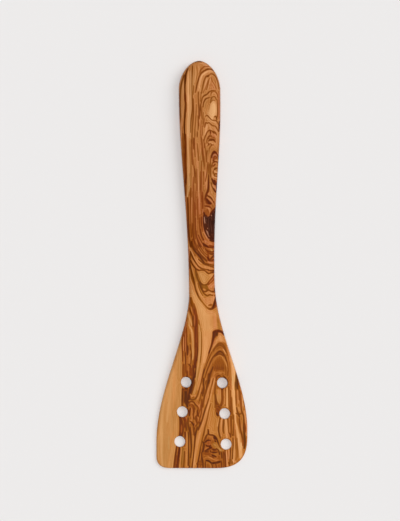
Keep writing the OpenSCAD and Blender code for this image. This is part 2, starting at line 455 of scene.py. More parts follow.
# arch with its dark cap, right of the middle
archFigure = [
    (43, 60, [(106, 974), (160, 974), (173, 924), (190, 867), (203, 814), (208, 757), (205, 690),
     (203, 606), (203, 552), (-18, 552), (2, 656), (22, 733), (42, 800), (62, 860), (79, 914),
     (93, 948)], 8),
    (72, 62, [(113, 963), (119, 978), (156, 978), (171, 941), (176, 924), (139, 929), (119, 924), (89, 887),
     (81, 884), (88, 924)], 5),
    (14, 85, [(87, 978, 13), (83, 951, 15), (72, 907, 10), (50, 844, 7)]),
    (8, 95, [(88, 974, 9), (88, 994, 17), (98, 1005, 19), (116, 1010, 19), (136, 1008, 15), (149, 999, 13),
     (160, 987, 11)]),
    (12, 80, [(89, 958, 10), (99, 979, 20), (109, 993, 18)]),
    (10, 0, [(111, 991, 9), (112, 978, 8)]),
    (60, 100, [(99, 941, 4), (93, 927, 9), (88, 914, 8), (80, 901, 5)]),
    (84, 60, [(133, 974, 8), (136, 958, 18), (141, 941, 16)]),
    (36, 56, [(83, 860, 4), (96, 884, 9), (116, 906, 16), (139, 912, 22), (160, 896, 14), (173, 867, 8),
     (186, 830, 5)]),
    (55, 61, [(49, 780, 4), (69, 814, 6), (89, 844, 8), (113, 867, 10), (133, 876, 11), (153, 874, 9),
     (166, 860, 9), (180, 837, 9), (190, 807, 7), (196, 773, 5)]),
    (82, 50, [(156, 877, 5), (168, 860, 7), (178, 840, 6)]),
    (28, 56, [(59, 773, 4), (76, 807, 6), (96, 830, 8), (116, 850, 10), (133, 859, 11), (149, 852, 9),
     (163, 835, 8), (173, 814, 6), (183, 787, 5)]),
    (15, 61, [(123, 859, 5), (137, 859, 8)]),
    (34, 58, [(96, 824, 6), (119, 839, 11), (139, 839, 12), (158, 827, 7)]),
    (60, 58, [(52, 720, 4), (69, 760, 6), (89, 794, 8), (109, 817, 10), (129, 829, 10), (146, 824, 9),
     (160, 807, 9), (173, 780, 8), (183, 750, 6), (190, 713, 5)]),
    (72, 50, [(149, 817, 5), (163, 797, 7), (176, 773, 7), (185, 747, 5)]),
    (34, 66, [(89, 773), (116, 804), (139, 807), (160, 783), (170, 753), (173, 730), (160, 713), (106, 713),
     (83, 720)], 8),
    (27, 70, [(89, 740), (116, 747), (146, 745), (168, 737), (153, 725), (113, 725), (91, 727)], 7),
    (53, 66, [(83, 656, 5), (96, 690, 8), (116, 708, 11), (139, 713, 13), (160, 703, 10), (186, 653, 6)]),
    (66, 60, [(126, 698, 7), (141, 700, 10)]),
    (22, 60, [(104, 643, 4), (111, 670, 6), (124, 680, 8), (139, 675, 6)]),
    (22, 56, [(156, 680, 4), (170, 668, 6), (186, 650, 6)]),
    (44, 95, [(104, 668, 6), (114, 680, 6)]),
    (48, 62, [(197, 790, 10), (200, 740, 12), (203, 690, 12), (203, 639, 12), (206, 579, 12)]),
    (36, 58, [(186, 787, 4), (191, 753, 6), (193, 713, 6), (191, 680, 5)]),
    (72, 85, [(185, 894, 4), (195, 854, 7), (203, 820, 7), (206, 787, 6)]),
    (94, 42, [(163, 971, 4), (180, 931, 6), (200, 874, 8), (218, 817, 15), (237, 733, 25), (237, 700, 25),
     (233, 666, 22), (231, 589, 17), (232, 546, 17)]),
    (97, 70, [(223, 760, 7), (232, 733, 12), (232, 706, 9)]),
    (90, 15, [(230, 680, 8), (229, 646, 13), (229, 606, 11)]),
    (43, 8, [(251, 696, 5), (253, 663, 11), (250, 623, 15), (249, 579, 15)]),
    (19, 30, [(257, 673, 5), (268, 606, 11), (270, 579, 9)]),
    (68, 55, [(89, 907, 5), (76, 881, 7), (48, 810, 6), (36, 778, 6), (22, 733, 5)]),
    (30, 58, [(72, 854, 4), (42, 780, 6), (16, 700, 5), (8, 660, 5)]),
    (60, 50, [(83, 840, 4), (51, 780, 6), (36, 743, 6), (22, 700, 6), (12, 660, 6), (4, 619, 5)]),
    (30, 56, [(72, 797, 5), (44, 730, 6), (32, 696, 6), (14, 623, 5)]),
    (56, 66, [(72, 773, 5), (47, 713, 6), (36, 680, 6), (17, 599, 5)]),
    (22, 58, [(83, 747, 6), (62, 690, 15), (54, 656, 17), (44, 623, 13), (29, 552, 9)]),
    (36, 60, [(72, 706, 4), (64, 676, 5), (56, 643, 5)]),
    (20, 61, [(32, 643, 6), (19, 606, 10), (2, 549, 10)]),
    (60, 62, [(93, 711, 5), (83, 680, 7), (59, 606, 6), (36, 546, 6)]),
    (28, 61, [(88, 660, 5), (77, 623, 7), (67, 549, 6)]),
    (54, 66, [(97, 673, 5), (90, 633, 6), (81, 549, 5)]),
    (34, 61, [(101, 629, 4), (97, 596, 6), (94, 552, 6)]),
    (66, 60, [(-3, 680, 4), (-18, 606, 7), (-26, 573, 7)]),
]

# pale sapwood on the left of the blade
sapwood = [
    (78, 34, [(-174, 880, 16), (-206, 760, 34), (-240, 640, 44), (-274, 520, 32), (-296, 420, 16)]),
    (70, 29, [(-164, 640, 12), (-164, 540, 16), (-170, 480, 12)]),
    (76, 17, [(-220, 780, 8), (-224, 660, 20), (-240, 500, 20), (-254, 340, 12)]),
    (79, 22, [(-266, 620, 8), (-286, 480, 16), (-298, 300, 22), (-296, 140, 18), (-288, 20, 14)]),
    (72, 41, [(-188, 840, 10), (-198, 700, 18), (-204, 540, 14), (-206, 420, 10)]),
    (70, 19, [(-216, 500, 7), (-219, 440, 10), (-220, 360, 12), (-216, 280, 8)]),
    (69, 25, [(-262, 480, 7), (-268, 380, 10), (-270, 280, 10), (-266, 180, 8)]),
    (69, 13, [(-240, 226, 12), (-240, 186, 20), (-240, 146, 14)]),
    (71, 49, [(-206, 260, 12), (-226, 200, 16), (-224, 140, 12)]),
    (77, 19, [(-316, 240, 10), (-322, 140, 12), (-316, 60, 10)]),
    (71, 41, [(-234, 100, 12), (-240, 40, 18), (-244, -10, 12)]),
    (72, 37, [(-184, 360, 9), (-188, 310, 12), (-194, 270, 9)]),
    (68, 33, [(-330, 360, 8), (-336, 240, 8), (-336, 120, 8)]),
]

# dark stripes beside the sapwood, from the neck down
leftTop = [
    (42, 72, [(-114, 1050), (-134, 1010), (-144, 960), (-150, 910), (-146, 840), (-144, 760), (-143, 680),
     (-140, 590), (-88, 590), (-66, 660), (-56, 720), (-62, 780), (-77, 840), (-79, 920), (-83, 980),
     (-94, 1050)], 3),
    (44, 72, [(-108, 1147), (-116, 1091), (-130, 1032), (-144, 970), (-148, 920), (-144, 832), (-142, 761),
     (-93, 755), (-46, 761), (-31, 808), (-26, 861), (-26, 950), (-26, 1038), (-32, 1121), (-43, 1162),
     (-52, 1185), (-96, 1227), (-100, 1185)], 4),
    (50, 30, [(-95, 1233, 4), (-97, 1203, 6), (-98, 1179, 5)]),
    (29, 55, [(-81, 1250, 16), (-77, 1227, 19), (-63, 1188, 18), (-50, 1156, 12)]),
    (24, 80, [(-57, 1209, 6), (-44, 1165, 8), (-40, 1147, 7)]),
    (36, 125, [(-66, 1177, 6), (-62, 1165, 9), (-57, 1147, 9), (-55, 1132, 7)]),
    (62, 60, [(-78, 1185, 4), (-75, 1168, 5), (-76, 1153, 4)]),
    (70, 40, [(-89, 1171, 4), (-78, 1138, 5), (-75, 1126, 4)]),
    (22, 45, [(-92, 1179, 4), (-80, 1144, 7), (-73, 1126, 7), (-70, 1109, 6), (-69, 1085, 6),
     (-65, 1041, 4)]),
    (46, 50, [(-66, 1118, 3), (-65, 1097, 4), (-66, 1076, 4)]),
    (24, 50, [(-63, 1121, 4), (-62, 1103, 7), (-62, 1079, 6), (-58, 1038, 4)]),
    (52, 120, [(-55, 1126, 4), (-54, 1106, 8), (-56, 1065, 7), (-53, 1047, 5)]),
    (78, 30, [(-101, 1150, 7), (-97, 1129, 16), (-92, 1109, 20), (-80, 1070, 16), (-76, 1050, 10)]),
    (70, 22, [(-102, 1091, 6), (-97, 1067, 12), (-92, 1047, 14), (-86, 1029, 10)]),
    (80, 36, [(-83, 1038, 10), (-76, 1017, 17), (-70, 994, 20), (-67, 967, 20), (-65, 908, 18),
     (-65, 849, 14), (-65, 823, 11), (-68, 796, 8)]),
    (84, 45, [(-75, 1014, 5), (-72, 991, 6), (-70, 961, 5)]),
    (21, 114, [(-52, 1165, 8), (-47, 1147, 15), (-38, 1109, 20), (-38, 1062, 19), (-43, 1009, 25),
     (-41, 950, 26), (-40, 891, 26), (-39, 861, 24), (-44, 802, 20), (-48, 773, 18), (-50, 743, 16)]),
    (13, 110, [(-41, 1126, 5), (-37, 1109, 8), (-36, 1085, 6)]),
    (40, 110, [(-52, 1020, 4), (-53, 961, 6), (-52, 932, 5)]),
    (36, 110, [(-38, 1038, 4), (-38, 961, 6), (-40, 926, 5)]),
    (14, 80, [(-31, 891, 4), (-32, 855, 6), (-38, 790, 6)]),
    (34, 75, [(-46, 885, 3), (-47, 855, 4), (-49, 826, 4)]),
    (52, 45, [(-27, 1062, 4), (-24, 1032, 7), (-23, 997, 6), (-24, 961, 5)]),
    (76, 32, [(-22, 1056, 6), (-16, 1026, 14), (-14, 991, 17), (-13, 920, 17), (-16, 849, 15),
     (-23, 790, 11), (-30, 743, 10), (-39, 684, 10)]),
    (46, 42, [(-17, 1062, 3), (-11, 1041, 5), (-8, 1003, 4)]),
    (44, 42, [(-2, 1000, 3), (-1, 932, 5), (-3, 861, 5), (-10, 802, 5), (-13, 773, 4)]),
    (84, 60, [(-26, 773, 4), (-25, 761, 6), (-28, 743, 5)]),
    (24, 110, [(-138, 985, 3), (-142, 961, 5), (-144, 932, 6), (-143, 873, 6), (-142, 814, 5),
     (-141, 785, 4)]),
    (80, 80, [(-134, 964, 4), (-134, 911, 7), (-135, 861, 4)]),
    (34, 120, [(-127, 979, 4), (-128, 920, 6), (-126, 861, 4)]),
    (60, 120, [(-121, 991, 4), (-120, 926, 6), (-121, 861, 4)]),
    (46, 125, [(-111, 1085, 4), (-119, 1038, 10), (-129, 991, 12), (-133, 973, 9)]),
    (68, 100, [(-110, 1079, 4), (-111, 1062, 5)]),
    (26, 85, [(-111, 1032, 4), (-113, 1003, 8), (-112, 944, 7), (-109, 885, 9), (-108, 855, 9),
     (-106, 832, 6)]),
    (54, 50, [(-105, 1056, 5), (-98, 997, 15), (-94, 967, 19), (-91, 938, 20), (-89, 908, 17),
     (-87, 885, 10)]),
    (62, 50, [(-105, 961, 3), (-105, 932, 5), (-103, 905, 4)]),
    (40, 50, [(-88, 985, 4), (-86, 956, 7), (-86, 926, 6)]),
    (33, 60, [(-86, 908, 6), (-79, 849, 10), (-77, 820, 9), (-80, 767, 6)]),
    (66, 45, [(-84, 867, 3), (-83, 852, 5), (-83, 841, 3)]),
    (30, 75, [(-103, 897, 5), (-101, 867, 9), (-102, 838, 6)]),
    (62, 85, [(-93, 873, 3), (-93, 849, 4), (-95, 826, 4)]),
    (60, 75, [(-98, 826, 5), (-98, 802, 9), (-98, 779, 9), (-97, 764, 5)]),
    (74, 65, [(-89, 817, 4), (-88, 793, 5), (-89, 770, 4)]),
    (60, 60, [(-72, 802, 5), (-72, 779, 8), (-75, 737, 5)]),
    (46, 75, [(-134, 849, 6), (-135, 820, 9), (-134, 761, 8)]),
    (68, 50, [(-128, 820, 4), (-127, 793, 5), (-128, 767, 4)]),
    (28, 85, [(-122, 849, 6), (-120, 820, 8), (-121, 761, 6)]),
    (20, 70, [(-103, 765, 4), (-96, 763, 5), (-88, 755, 6), (-80, 743, 6)]),
    (36, 75, [(-135, 761, 10), (-134, 732, 16), (-135, 702, 17), (-135, 676, 14)]),
    (42, 95, [(-119, 761, 5), (-118, 732, 9), (-116, 702, 7)]),
    (16, 90, [(-108, 714, 5), (-107, 690, 7), (-108, 670, 6)]),
    (56, 100, [(-97, 746, 4), (-98, 717, 5), (-99, 687, 5)]),
    (37, 105, [(-83, 746, 7), (-80, 717, 12), (-78, 684, 12)]),
    (22, 95, [(-64, 755, 6), (-60, 696, 12), (-57, 667, 14)]),
    (10, 75, [(-42, 749, 4), (-47, 690, 8), (-52, 667, 9)]),
]

# stripes round and between the holes
bladeMiddle = [
    (10, 55, [(-110, 600, 16), (-120, 560, 22), (-120, 520, 26), (-114, 480, 20), (-106, 450, 10)]),
    (14, 60, [(-140, 580, 12), (-144, 500, 10), (-145, 460, 8)]),
    (44, 55, [(-134, 570, 6), (-133, 530, 7), (-137, 460, 4)]),
    (34, 75, [(-136, 566, 9), (-124, 572, 11), (-110, 570, 9)]),
    (10, 65, [(-60, 664, 12), (-73, 608, 19), (-82, 576, 19), (-96, 514, 12), (-100, 486, 10)]),
    (32, 60, [(-49, 646, 5), (-56, 610, 7), (-66, 574, 7), (-78, 540, 6)]),
    (70, 35, [(-34, 630, 12), (-40, 604, 20), (-48, 574, 20), (-58, 544, 16)]),
    (68, 60, [(-20, 640, 14), (-24, 616, 12), (-34, 576, 8)]),
    (30, 50, [(-7, 624, 5), (-22, 568, 7), (-29, 544, 8), (-38, 522, 8), (-52, 506, 8), (-72, 502, 8),
     (-88, 508, 7)]),
    (68, 70, [(-84, 542, 8), (-72, 526, 16), (-54, 528, 16), (-46, 538, 9)]),
    (42, 60, [(-68, 518, 7), (-58, 522, 7)]),
    (66, 60, [(4, 630, 8), (-12, 564, 10), (-18, 534, 10), (-42, 486, 9)]),
    (62, 60, [(-96, 494, 7), (-76, 492, 7), (-60, 488, 8), (-46, 476, 12), (-34, 464, 10)]),
    (24, 50, [(14, 660, 9), (12, 626, 16), (16, 592, 12), (6, 532, 8)]),
    (34, 50, [(-4, 556, 5), (-10, 524, 7), (-16, 494, 5)]),
    (60, 55, [(26, 660, 7), (22, 620, 6), (26, 584, 5)]),
    (26, 50, [(52, 690, 14), (50, 650, 16), (44, 614, 15), (38, 584, 11), (18, 520, 9), (8, 450, 5)]),
    (14, 50, [(54, 644, 10), (50, 626, 9)]),
    (64, 65, [(72, 660, 10), (68, 630, 9), (56, 600, 14), (46, 566, 17), (40, 534, 18), (26, 472, 9)]),
    (32, 50, [(72, 604, 5), (58, 538, 6), (52, 508, 6)]),
    (16, 50, [(50, 510, 5), (44, 484, 7), (27, 436, 9), (10, 382, 9), (4, 356, 9), (-14, 308, 15),
     (-24, 282, 12)]),
    (74, 60, [(94, 660, 8), (86, 620, 10), (76, 584, 12), (62, 516, 10), (44, 444, 15), (26, 378, 17),
     (16, 346, 18), (-4, 286, 26), (-24, 218, 28), (-40, 136, 28), (-48, 94, 28), (-54, 48, 26),
     (-59, 0, 24)]),
    (40, 50, [(68, 476, 4), (52, 424, 7), (41, 364, 7), (27, 314, 8), (20, 288, 5)]),
    (38, 50, [(100, 586, 5), (96, 554, 7), (97, 486, 6), (96, 444, 5)]),
    (70, 40, [(108, 580), (126, 582), (140, 572), (142, 534), (138, 500), (128, 476), (114, 494),
     (108, 530)], 5),
    (70, 80, [(126, 572, 9), (128, 556, 14), (126, 538, 8)]),
    (34, 55, [(102, 540, 5), (103, 514, 9), (108, 490, 11), (116, 472, 12)]),
    (30, 75, [(149, 574, 12), (149, 540, 11), (152, 508, 14), (148, 482, 13), (142, 464, 12)]),
    (16, 60, [(144, 584, 6), (150, 578, 10), (154, 584, 6)]),
    (28, 75, [(100, 500), (110, 476), (134, 466), (148, 456), (136, 430), (128, 404), (124, 382),
     (112, 382), (102, 410), (99, 450)], 5),
    (34, 125, [(114, 436, 9), (122, 422, 14), (122, 410, 9)]),
    (6, 70, [(109, 406, 7), (114, 394, 14), (119, 386, 10)]),
    (78, 50, [(164, 580, 5), (168, 540, 7), (166, 496, 8), (162, 466, 8)]),
    (46, 85, [(160, 526, 6), (157, 494, 9), (156, 468, 8)]),
    (40, 50, [(174, 580, 7), (174, 520, 8), (172, 460, 8)]),
    (86, 45, [(186, 586, 7), (186, 546, 12), (186, 500, 14), (187, 456, 12)]),
    (42, 48, [(199, 600, 8), (198, 540, 10), (200, 480, 13), (204, 440, 11)]),
    (50, 85, [(212, 660, 10), (213, 610, 11), (210, 570, 7)]),
    (36, 70, [(212, 570, 7), (212, 510, 10), (214, 450, 10), (212, 400, 13)]),
    (64, 45, [(219, 580, 6), (220, 500, 7)]),
    (97, 52, [(231, 600, 14), (233, 554, 21), (236, 506, 20), (239, 460, 19), (244, 410, 16),
     (246, 366, 13), (250, 330, 10)]),
    (28, 50, [(249, 630, 8), (252, 600, 6)]),
    (44, 48, [(250, 580, 8), (252, 530, 11), (254, 480, 8)]),
    (76, 70, [(264, 570, 7), (266, 520, 9), (268, 476, 8)]),
    (42, 48, [(272, 606, 10), (274, 556, 9), (276, 504, 8)]),
    (34, 80, [(280, 570, 6), (286, 534, 10), (288, 458, 8)]),
    (80, 50, [(294, 540, 6), (299, 500, 10), (304, 460, 9)]),
    (40, 50, [(308, 494, 7), (314, 450, 8)]),
    (30, 45, [(256, 446, 7), (260, 422, 9), (272, 390, 11), (278, 376, 7)]),
    (30, 48, [(290, 448, 7), (292, 424, 9), (306, 386, 9), (309, 360, 9), (310, 284, 12)]),
    (36, 48, [(250, 404, 5), (264, 396, 6), (282, 398, 7), (296, 408, 6)]),
    (76, 48, [(272, 448, 9), (278, 422, 10)]),
    (80, 80, [(314, 420, 9), (326, 340, 10), (329, 300, 10), (326, 270, 16), (329, 240, 9)]),
]

# swirl beside the left hole of the middle row
swirlStrokes = [
    (24, 70, [(-102, 470, 6), (-90, 484, 7), (-74, 490, 8), (-59, 484, 8), (-49, 470, 8), (-38, 458, 7),
     (-26, 448, 6), (-16, 428, 5)]),
    (30, 70, [(-94, 458, 5), (-80, 466, 6), (-66, 462, 6), (-50, 430, 6)]),
    (62, 75, [(-88, 474, 5), (-72, 478, 6), (-59, 469, 6)]),
    (14, 70, [(-84, 440, 6), (-90, 400, 9), (-92, 384, 6)]),
    (28, 70, [(-104, 440, 5), (-98, 416, 6), (-92, 402, 6)]),
    (60, 80, [(-76, 442, 6), (-72, 412, 8), (-76, 380, 8)]),
    (30, 70, [(-64, 440, 5), (-60, 412, 6), (-64, 386, 6), (-58, 360, 6)]),
    (64, 70, [(-42, 434, 5), (-48, 406, 6), (-52, 376, 6)]),
    (16, 70, [(-30, 426, 6), (-30, 410, 9), (-28, 394, 9), (-24, 380, 6)]),
    (32, 70, [(-40, 386, 6), (-36, 366, 7), (-30, 348, 8), (-36, 330, 6)]),
    (64, 80, [(-18, 474, 7), (-16, 440, 11), (-12, 410, 9), (-14, 380, 6)]),
    (32, 70, [(2, 502, 6), (-2, 462, 6), (-2, 420, 6), (-8, 386, 7), (-16, 360, 6)]),
    (62, 75, [(10, 440, 6), (6, 406, 6), (-2, 374, 7), (-12, 348, 8), (-22, 332, 7)]),
    (32, 70, [(-14, 356, 5), (-24, 334, 7), (-46, 306, 8), (-52, 286, 7)]),
    (64, 70, [(-69, 384, 7), (-74, 360, 10), (-84, 346, 8), (-88, 326, 6)]),
    (22, 70, [(-88, 344, 5), (-74, 338, 7), (-66, 326, 6), (-62, 314, 8), (-56, 324, 5)]),
    (60, 70, [(-56, 350, 6), (-50, 334, 7), (-46, 320, 5)]),
    (28, 70, [(-100, 366, 7), (-102, 330, 8), (-90, 266, 7)]),
    (46, 120, [(-112, 380, 11), (-116, 360, 11), (-110, 340, 8)]),
    (54, 70, [(-80, 310, 5), (-74, 280, 7), (-68, 250, 6)]),
    (32, 65, [(-62, 300, 6), (-58, 270, 7), (-56, 240, 8)]),
    (56, 70, [(-48, 304, 5), (-44, 276, 7), (-42, 250, 6)]),
    (24, 80, [(3, 490, 3), (6, 467, 6), (3, 444, 5)]),
    (34, 75, [(-8, 462, 4), (-9, 439, 6), (-20, 400, 4)]),
    (30, 75, [(-61, 444, 4), (-59, 428, 6), (-54, 412, 5)]),
    (60, 75, [(-47, 421, 4), (-45, 398, 6), (-50, 375, 5)]),
    (60, 85, [(-34, 382, 4), (-26, 361, 9), (-28, 343, 6)]),
    (16, 90, [(-32, 410, 5), (-29, 398, 10), (-31, 383, 6)]),
    (30, 80, [(-47, 380, 4), (-43, 357, 8), (-38, 336, 6)]),
    (26, 90, [(-22, 340, 5), (-13, 328, 9), (-3, 327, 6)]),
    (58, 95, [(-52, 343, 4), (-50, 324, 6), (-54, 306, 5)]),
    (18, 70, [(-80, 345, 3), (-73, 331, 6), (-63, 320, 9), (-61, 307, 5)]),
    (66, 65, [(-77, 375, 5), (-73, 357, 8), (-75, 343, 5)]),
    (42, 90, [(-89, 469, 8), (-76, 460, 14), (-67, 446, 10)]),
    (10, 110, [(-82, 437, 5), (-91, 414, 9), (-92, 388, 8)]),
    (36, 80, [(-38, 462, 4), (-29, 444, 6), (-24, 426, 5)]),
    (62, 85, [(-36, 488, 6), (-27, 467, 8), (-24, 450, 5)]),
]

# stripes at the working edge, left of the burl
bladeFoot = [
    (12, 85, [(-169, 400, 8), (-156, 360, 20), (-150, 320, 28), (-149, 280, 30), (-154, 240, 26),
     (-166, 200, 14)]),
    (24, 110, [(-146, 380, 8), (-130, 364, 18), (-122, 340, 14), (-124, 300, 9)]),
    (44, 100, [(-149, 316, 5), (-149, 286, 9), (-150, 260, 6)]),
    (24, 95, [(-122, 260, 12), (-122, 210, 10), (-124, 160, 10)]),
    (30, 60, [(-118, 340, 12), (-114, 300, 12), (-114, 270, 9)]),
    (20, 80, [(-180, 180, 9), (-192, 100, 11), (-199, 50, 10), (-206, -10, 10)]),
    (36, 80, [(-186, 90, 7), (-190, 40, 9), (-193, -10, 9)]),
    (60, 75, [(-178, 130, 5), (-180, 80, 7), (-186, 30, 5)]),
    (8, 110, [(-164, 156, 10), (-166, 126, 16), (-170, 94, 17), (-178, 24, 14), (-182, -10, 12)]),
    (24, 70, [(-166, 60, 7), (-170, 26, 9), (-172, -10, 9)]),
    (72, 55, [(-150, 156, 7), (-151, 120, 9), (-159, 40, 10), (-162, -10, 10)]),
    (46, 20, [(-139, 150, 14), (-139, 110, 16), (-142, 70, 14), (-148, 30, 10)]),
    (36, 48, [(-126, 120, 9), (-128, 70, 10), (-134, -10, 12)]),
    (60, 75, [(-120, 220, 5), (-122, 170, 6), (-118, 110, 6), (-116, 60, 5)]),
    (66, 60, [(-112, 270, 6), (-109, 220, 9), (-108, 160, 9), (-108, 100, 10), (-109, 40, 9),
     (-112, -10, 8)]),
    (30, 48, [(-98, 260, 8), (-96, 200, 9), (-96, 140, 10), (-98, 80, 10), (-100, 20, 10)]),
    (60, 75, [(-88, 220, 6), (-89, 170, 7), (-88, 110, 6)]),
    (26, 50, [(-86, 300, 8), (-83, 250, 12), (-79, 200, 12), (-77, 150, 11), (-80, 100, 9), (-86, 50, 9),
     (-92, -10, 8)]),
    (52, 45, [(-84, 70, 5), (-88, 20, 6)]),
    (64, 50, [(-64, 240, 6), (-63, 190, 9), (-64, 140, 9), (-68, 90, 8), (-74, 40, 7)]),
    (24, 55, [(-32, 300, 9), (-42, 266, 11), (-48, 230, 11), (-56, 146, 9), (-60, 100, 8), (-66, 50, 8),
     (-73, -10, 9)]),
    (34, 50, [(26, 310, 5), (12, 240, 9), (-6, 160, 8), (-14, 116, 8), (-20, 70, 8), (-34, -10, 8)]),
    (64, 60, [(16, 236, 5), (6, 194, 6), (-4, 146, 6), (-12, 96, 5)]),
    (30, 48, [(8, 196, 6), (2, 154, 8), (0, 110, 9), (-4, 60, 8), (-12, 10, 8)]),
    (44, 55, [(-36, 30, 10), (-14, 36, 26), (4, 30, 20)]),
    (64, 48, [(36, 300, 6), (30, 260, 8), (22, 226, 8)]),
    (36, 50, [(50, 284, 5), (50, 266, 9), (46, 252, 8), (36, 236, 6), (28, 214, 5)]),
]

# burl at the working edge
burlStrokes = [
    (39, 72, [(23, 213), (44, 231), (70, 231), (94, 218), (115, 197), (141, 123), (147, 87), (149, -8),
     (-27, -8), (-16, 60), (-9, 113), (15, 192)], 8),
    (19, 67, [(44, 284, 4), (48, 266, 9), (49, 250, 9), (63, 243, 9), (78, 242, 10), (94, 233, 12),
     (107, 218, 12), (115, 202, 9), (128, 163, 6), (139, 144, 5)]),
    (2, 87, [(89, 223, 7), (95, 221, 18), (105, 214, 11)]),
    (5, 77, [(96, 200, 4), (100, 196, 9), (104, 192, 4)]),
    (13, 37, [(112, 208, 4), (116, 194, 7), (120, 180, 5)]),
    (23, 67, [(36, 244, 5), (28, 229, 8), (19, 200, 6)]),
    (55, 72, [(44, 226, 8), (57, 228, 14), (73, 222, 14), (81, 209, 10)]),
    (11, 67, [(20, 187, 6), (28, 192, 9), (39, 201, 9), (52, 204, 9), (64, 201, 6)]),
    (44, 107, [(34, 181), (41, 193), (55, 197), (63, 192), (63, 176), (55, 166), (39, 163)], 3),
    (11, 77, [(31, 168, 6), (41, 160, 10), (55, 160, 9), (65, 166, 7)]),
    (52, 37, [(76, 176), (89, 189), (105, 187), (120, 171), (134, 150), (152, 129), (141, 118), (126, 129),
     (115, 144), (99, 144), (84, 152), (76, 163)], 4),
    (63, 27, [(91, 176, 5), (99, 168, 10), (107, 158, 6)]),
    (61, 12, [(126, 144, 5), (136, 134, 11), (147, 126, 8)]),
    (17, 47, [(107, 144, 4), (118, 134, 7), (126, 121, 8), (130, 100, 8)]),
    (5, 87, [(55, 155, 6), (63, 148, 15), (71, 152, 10)]),
    (13, 77, [(63, 144, 9), (64, 129, 8), (65, 118, 6)]),
    (57, 87, [(23, 134, 4), (34, 144, 9), (48, 152, 7)]),
    (15, 67, [(23, 126, 5), (36, 131, 9), (48, 139, 11), (55, 142, 8)]),
    (21, 67, [(19, 118, 5), (36, 120, 7), (52, 123, 5)]),
    (61, 82, [(64, 139, 3), (65, 130, 5)]),
    (23, 82, [(76, 139, 8), (91, 133, 14), (105, 134, 10)]),
    (13, 72, [(70, 116, 6), (86, 114, 9), (105, 114, 8), (114, 118, 5)]),
    (43, 82, [(20, 104, 12), (39, 106, 20), (57, 102, 16)]),
    (6, 72, [(73, 97, 6), (81, 91, 10), (94, 87, 9), (105, 81, 7)]),
    (45, 42, [(89, 102, 8), (105, 99, 10), (116, 97, 7)]),
    (31, 67, [(55, 88, 5), (73, 81, 7), (89, 72, 6)]),
    (59, 72, [(16, 67, 6), (31, 77, 12), (49, 78, 15), (68, 71, 15), (86, 62, 13), (105, 58, 10),
     (120, 60, 7)]),
    (9, 57, [(31, 55, 7), (44, 53, 11), (55, 49, 11), (65, 39, 10), (81, 35, 11), (118, 41, 15),
     (131, 45, 13)]),
    (53, 62, [(36, 35, 9), (49, 31, 13), (63, 20, 12), (68, -5, 10)]),
    (29, 57, [(28, 45, 4), (26, 26, 6), (28, -5, 5)]),
    (27, 57, [(71, 31, 6), (76, 18, 7), (78, -5, 6)]),
    (27, 77, [(102, 28, 6), (106, 13, 8), (107, -5, 7)]),
    (23, 72, [(141, 52, 5), (145, 34, 7), (145, -5, 7)]),
    (37, 79, [(157, 118, 9), (165, 87, 18), (168, 55, 20), (168, -5, 16)]),
    (21, 67, [(141, 118, 6), (146, 97, 6), (148, 73, 6)]),
    (15, 62, [(10, 192, 4), (16, 176, 10), (16, 160, 10), (13, 139, 8), (7, 118, 7)]),
    (57, 57, [(7, 181, 4), (-1, 150, 6), (-11, 87, 6), (-16, 58, 5)]),
    (23, 62, [(-3, 113, 5), (2, 71, 8), (7, 45, 8), (10, -5, 7)]),
    (21, 67, [(-9, 160, 4), (-11, 129, 7), (-24, 63, 8), (-30, 31, 7), (-32, -5, 6)]),
]

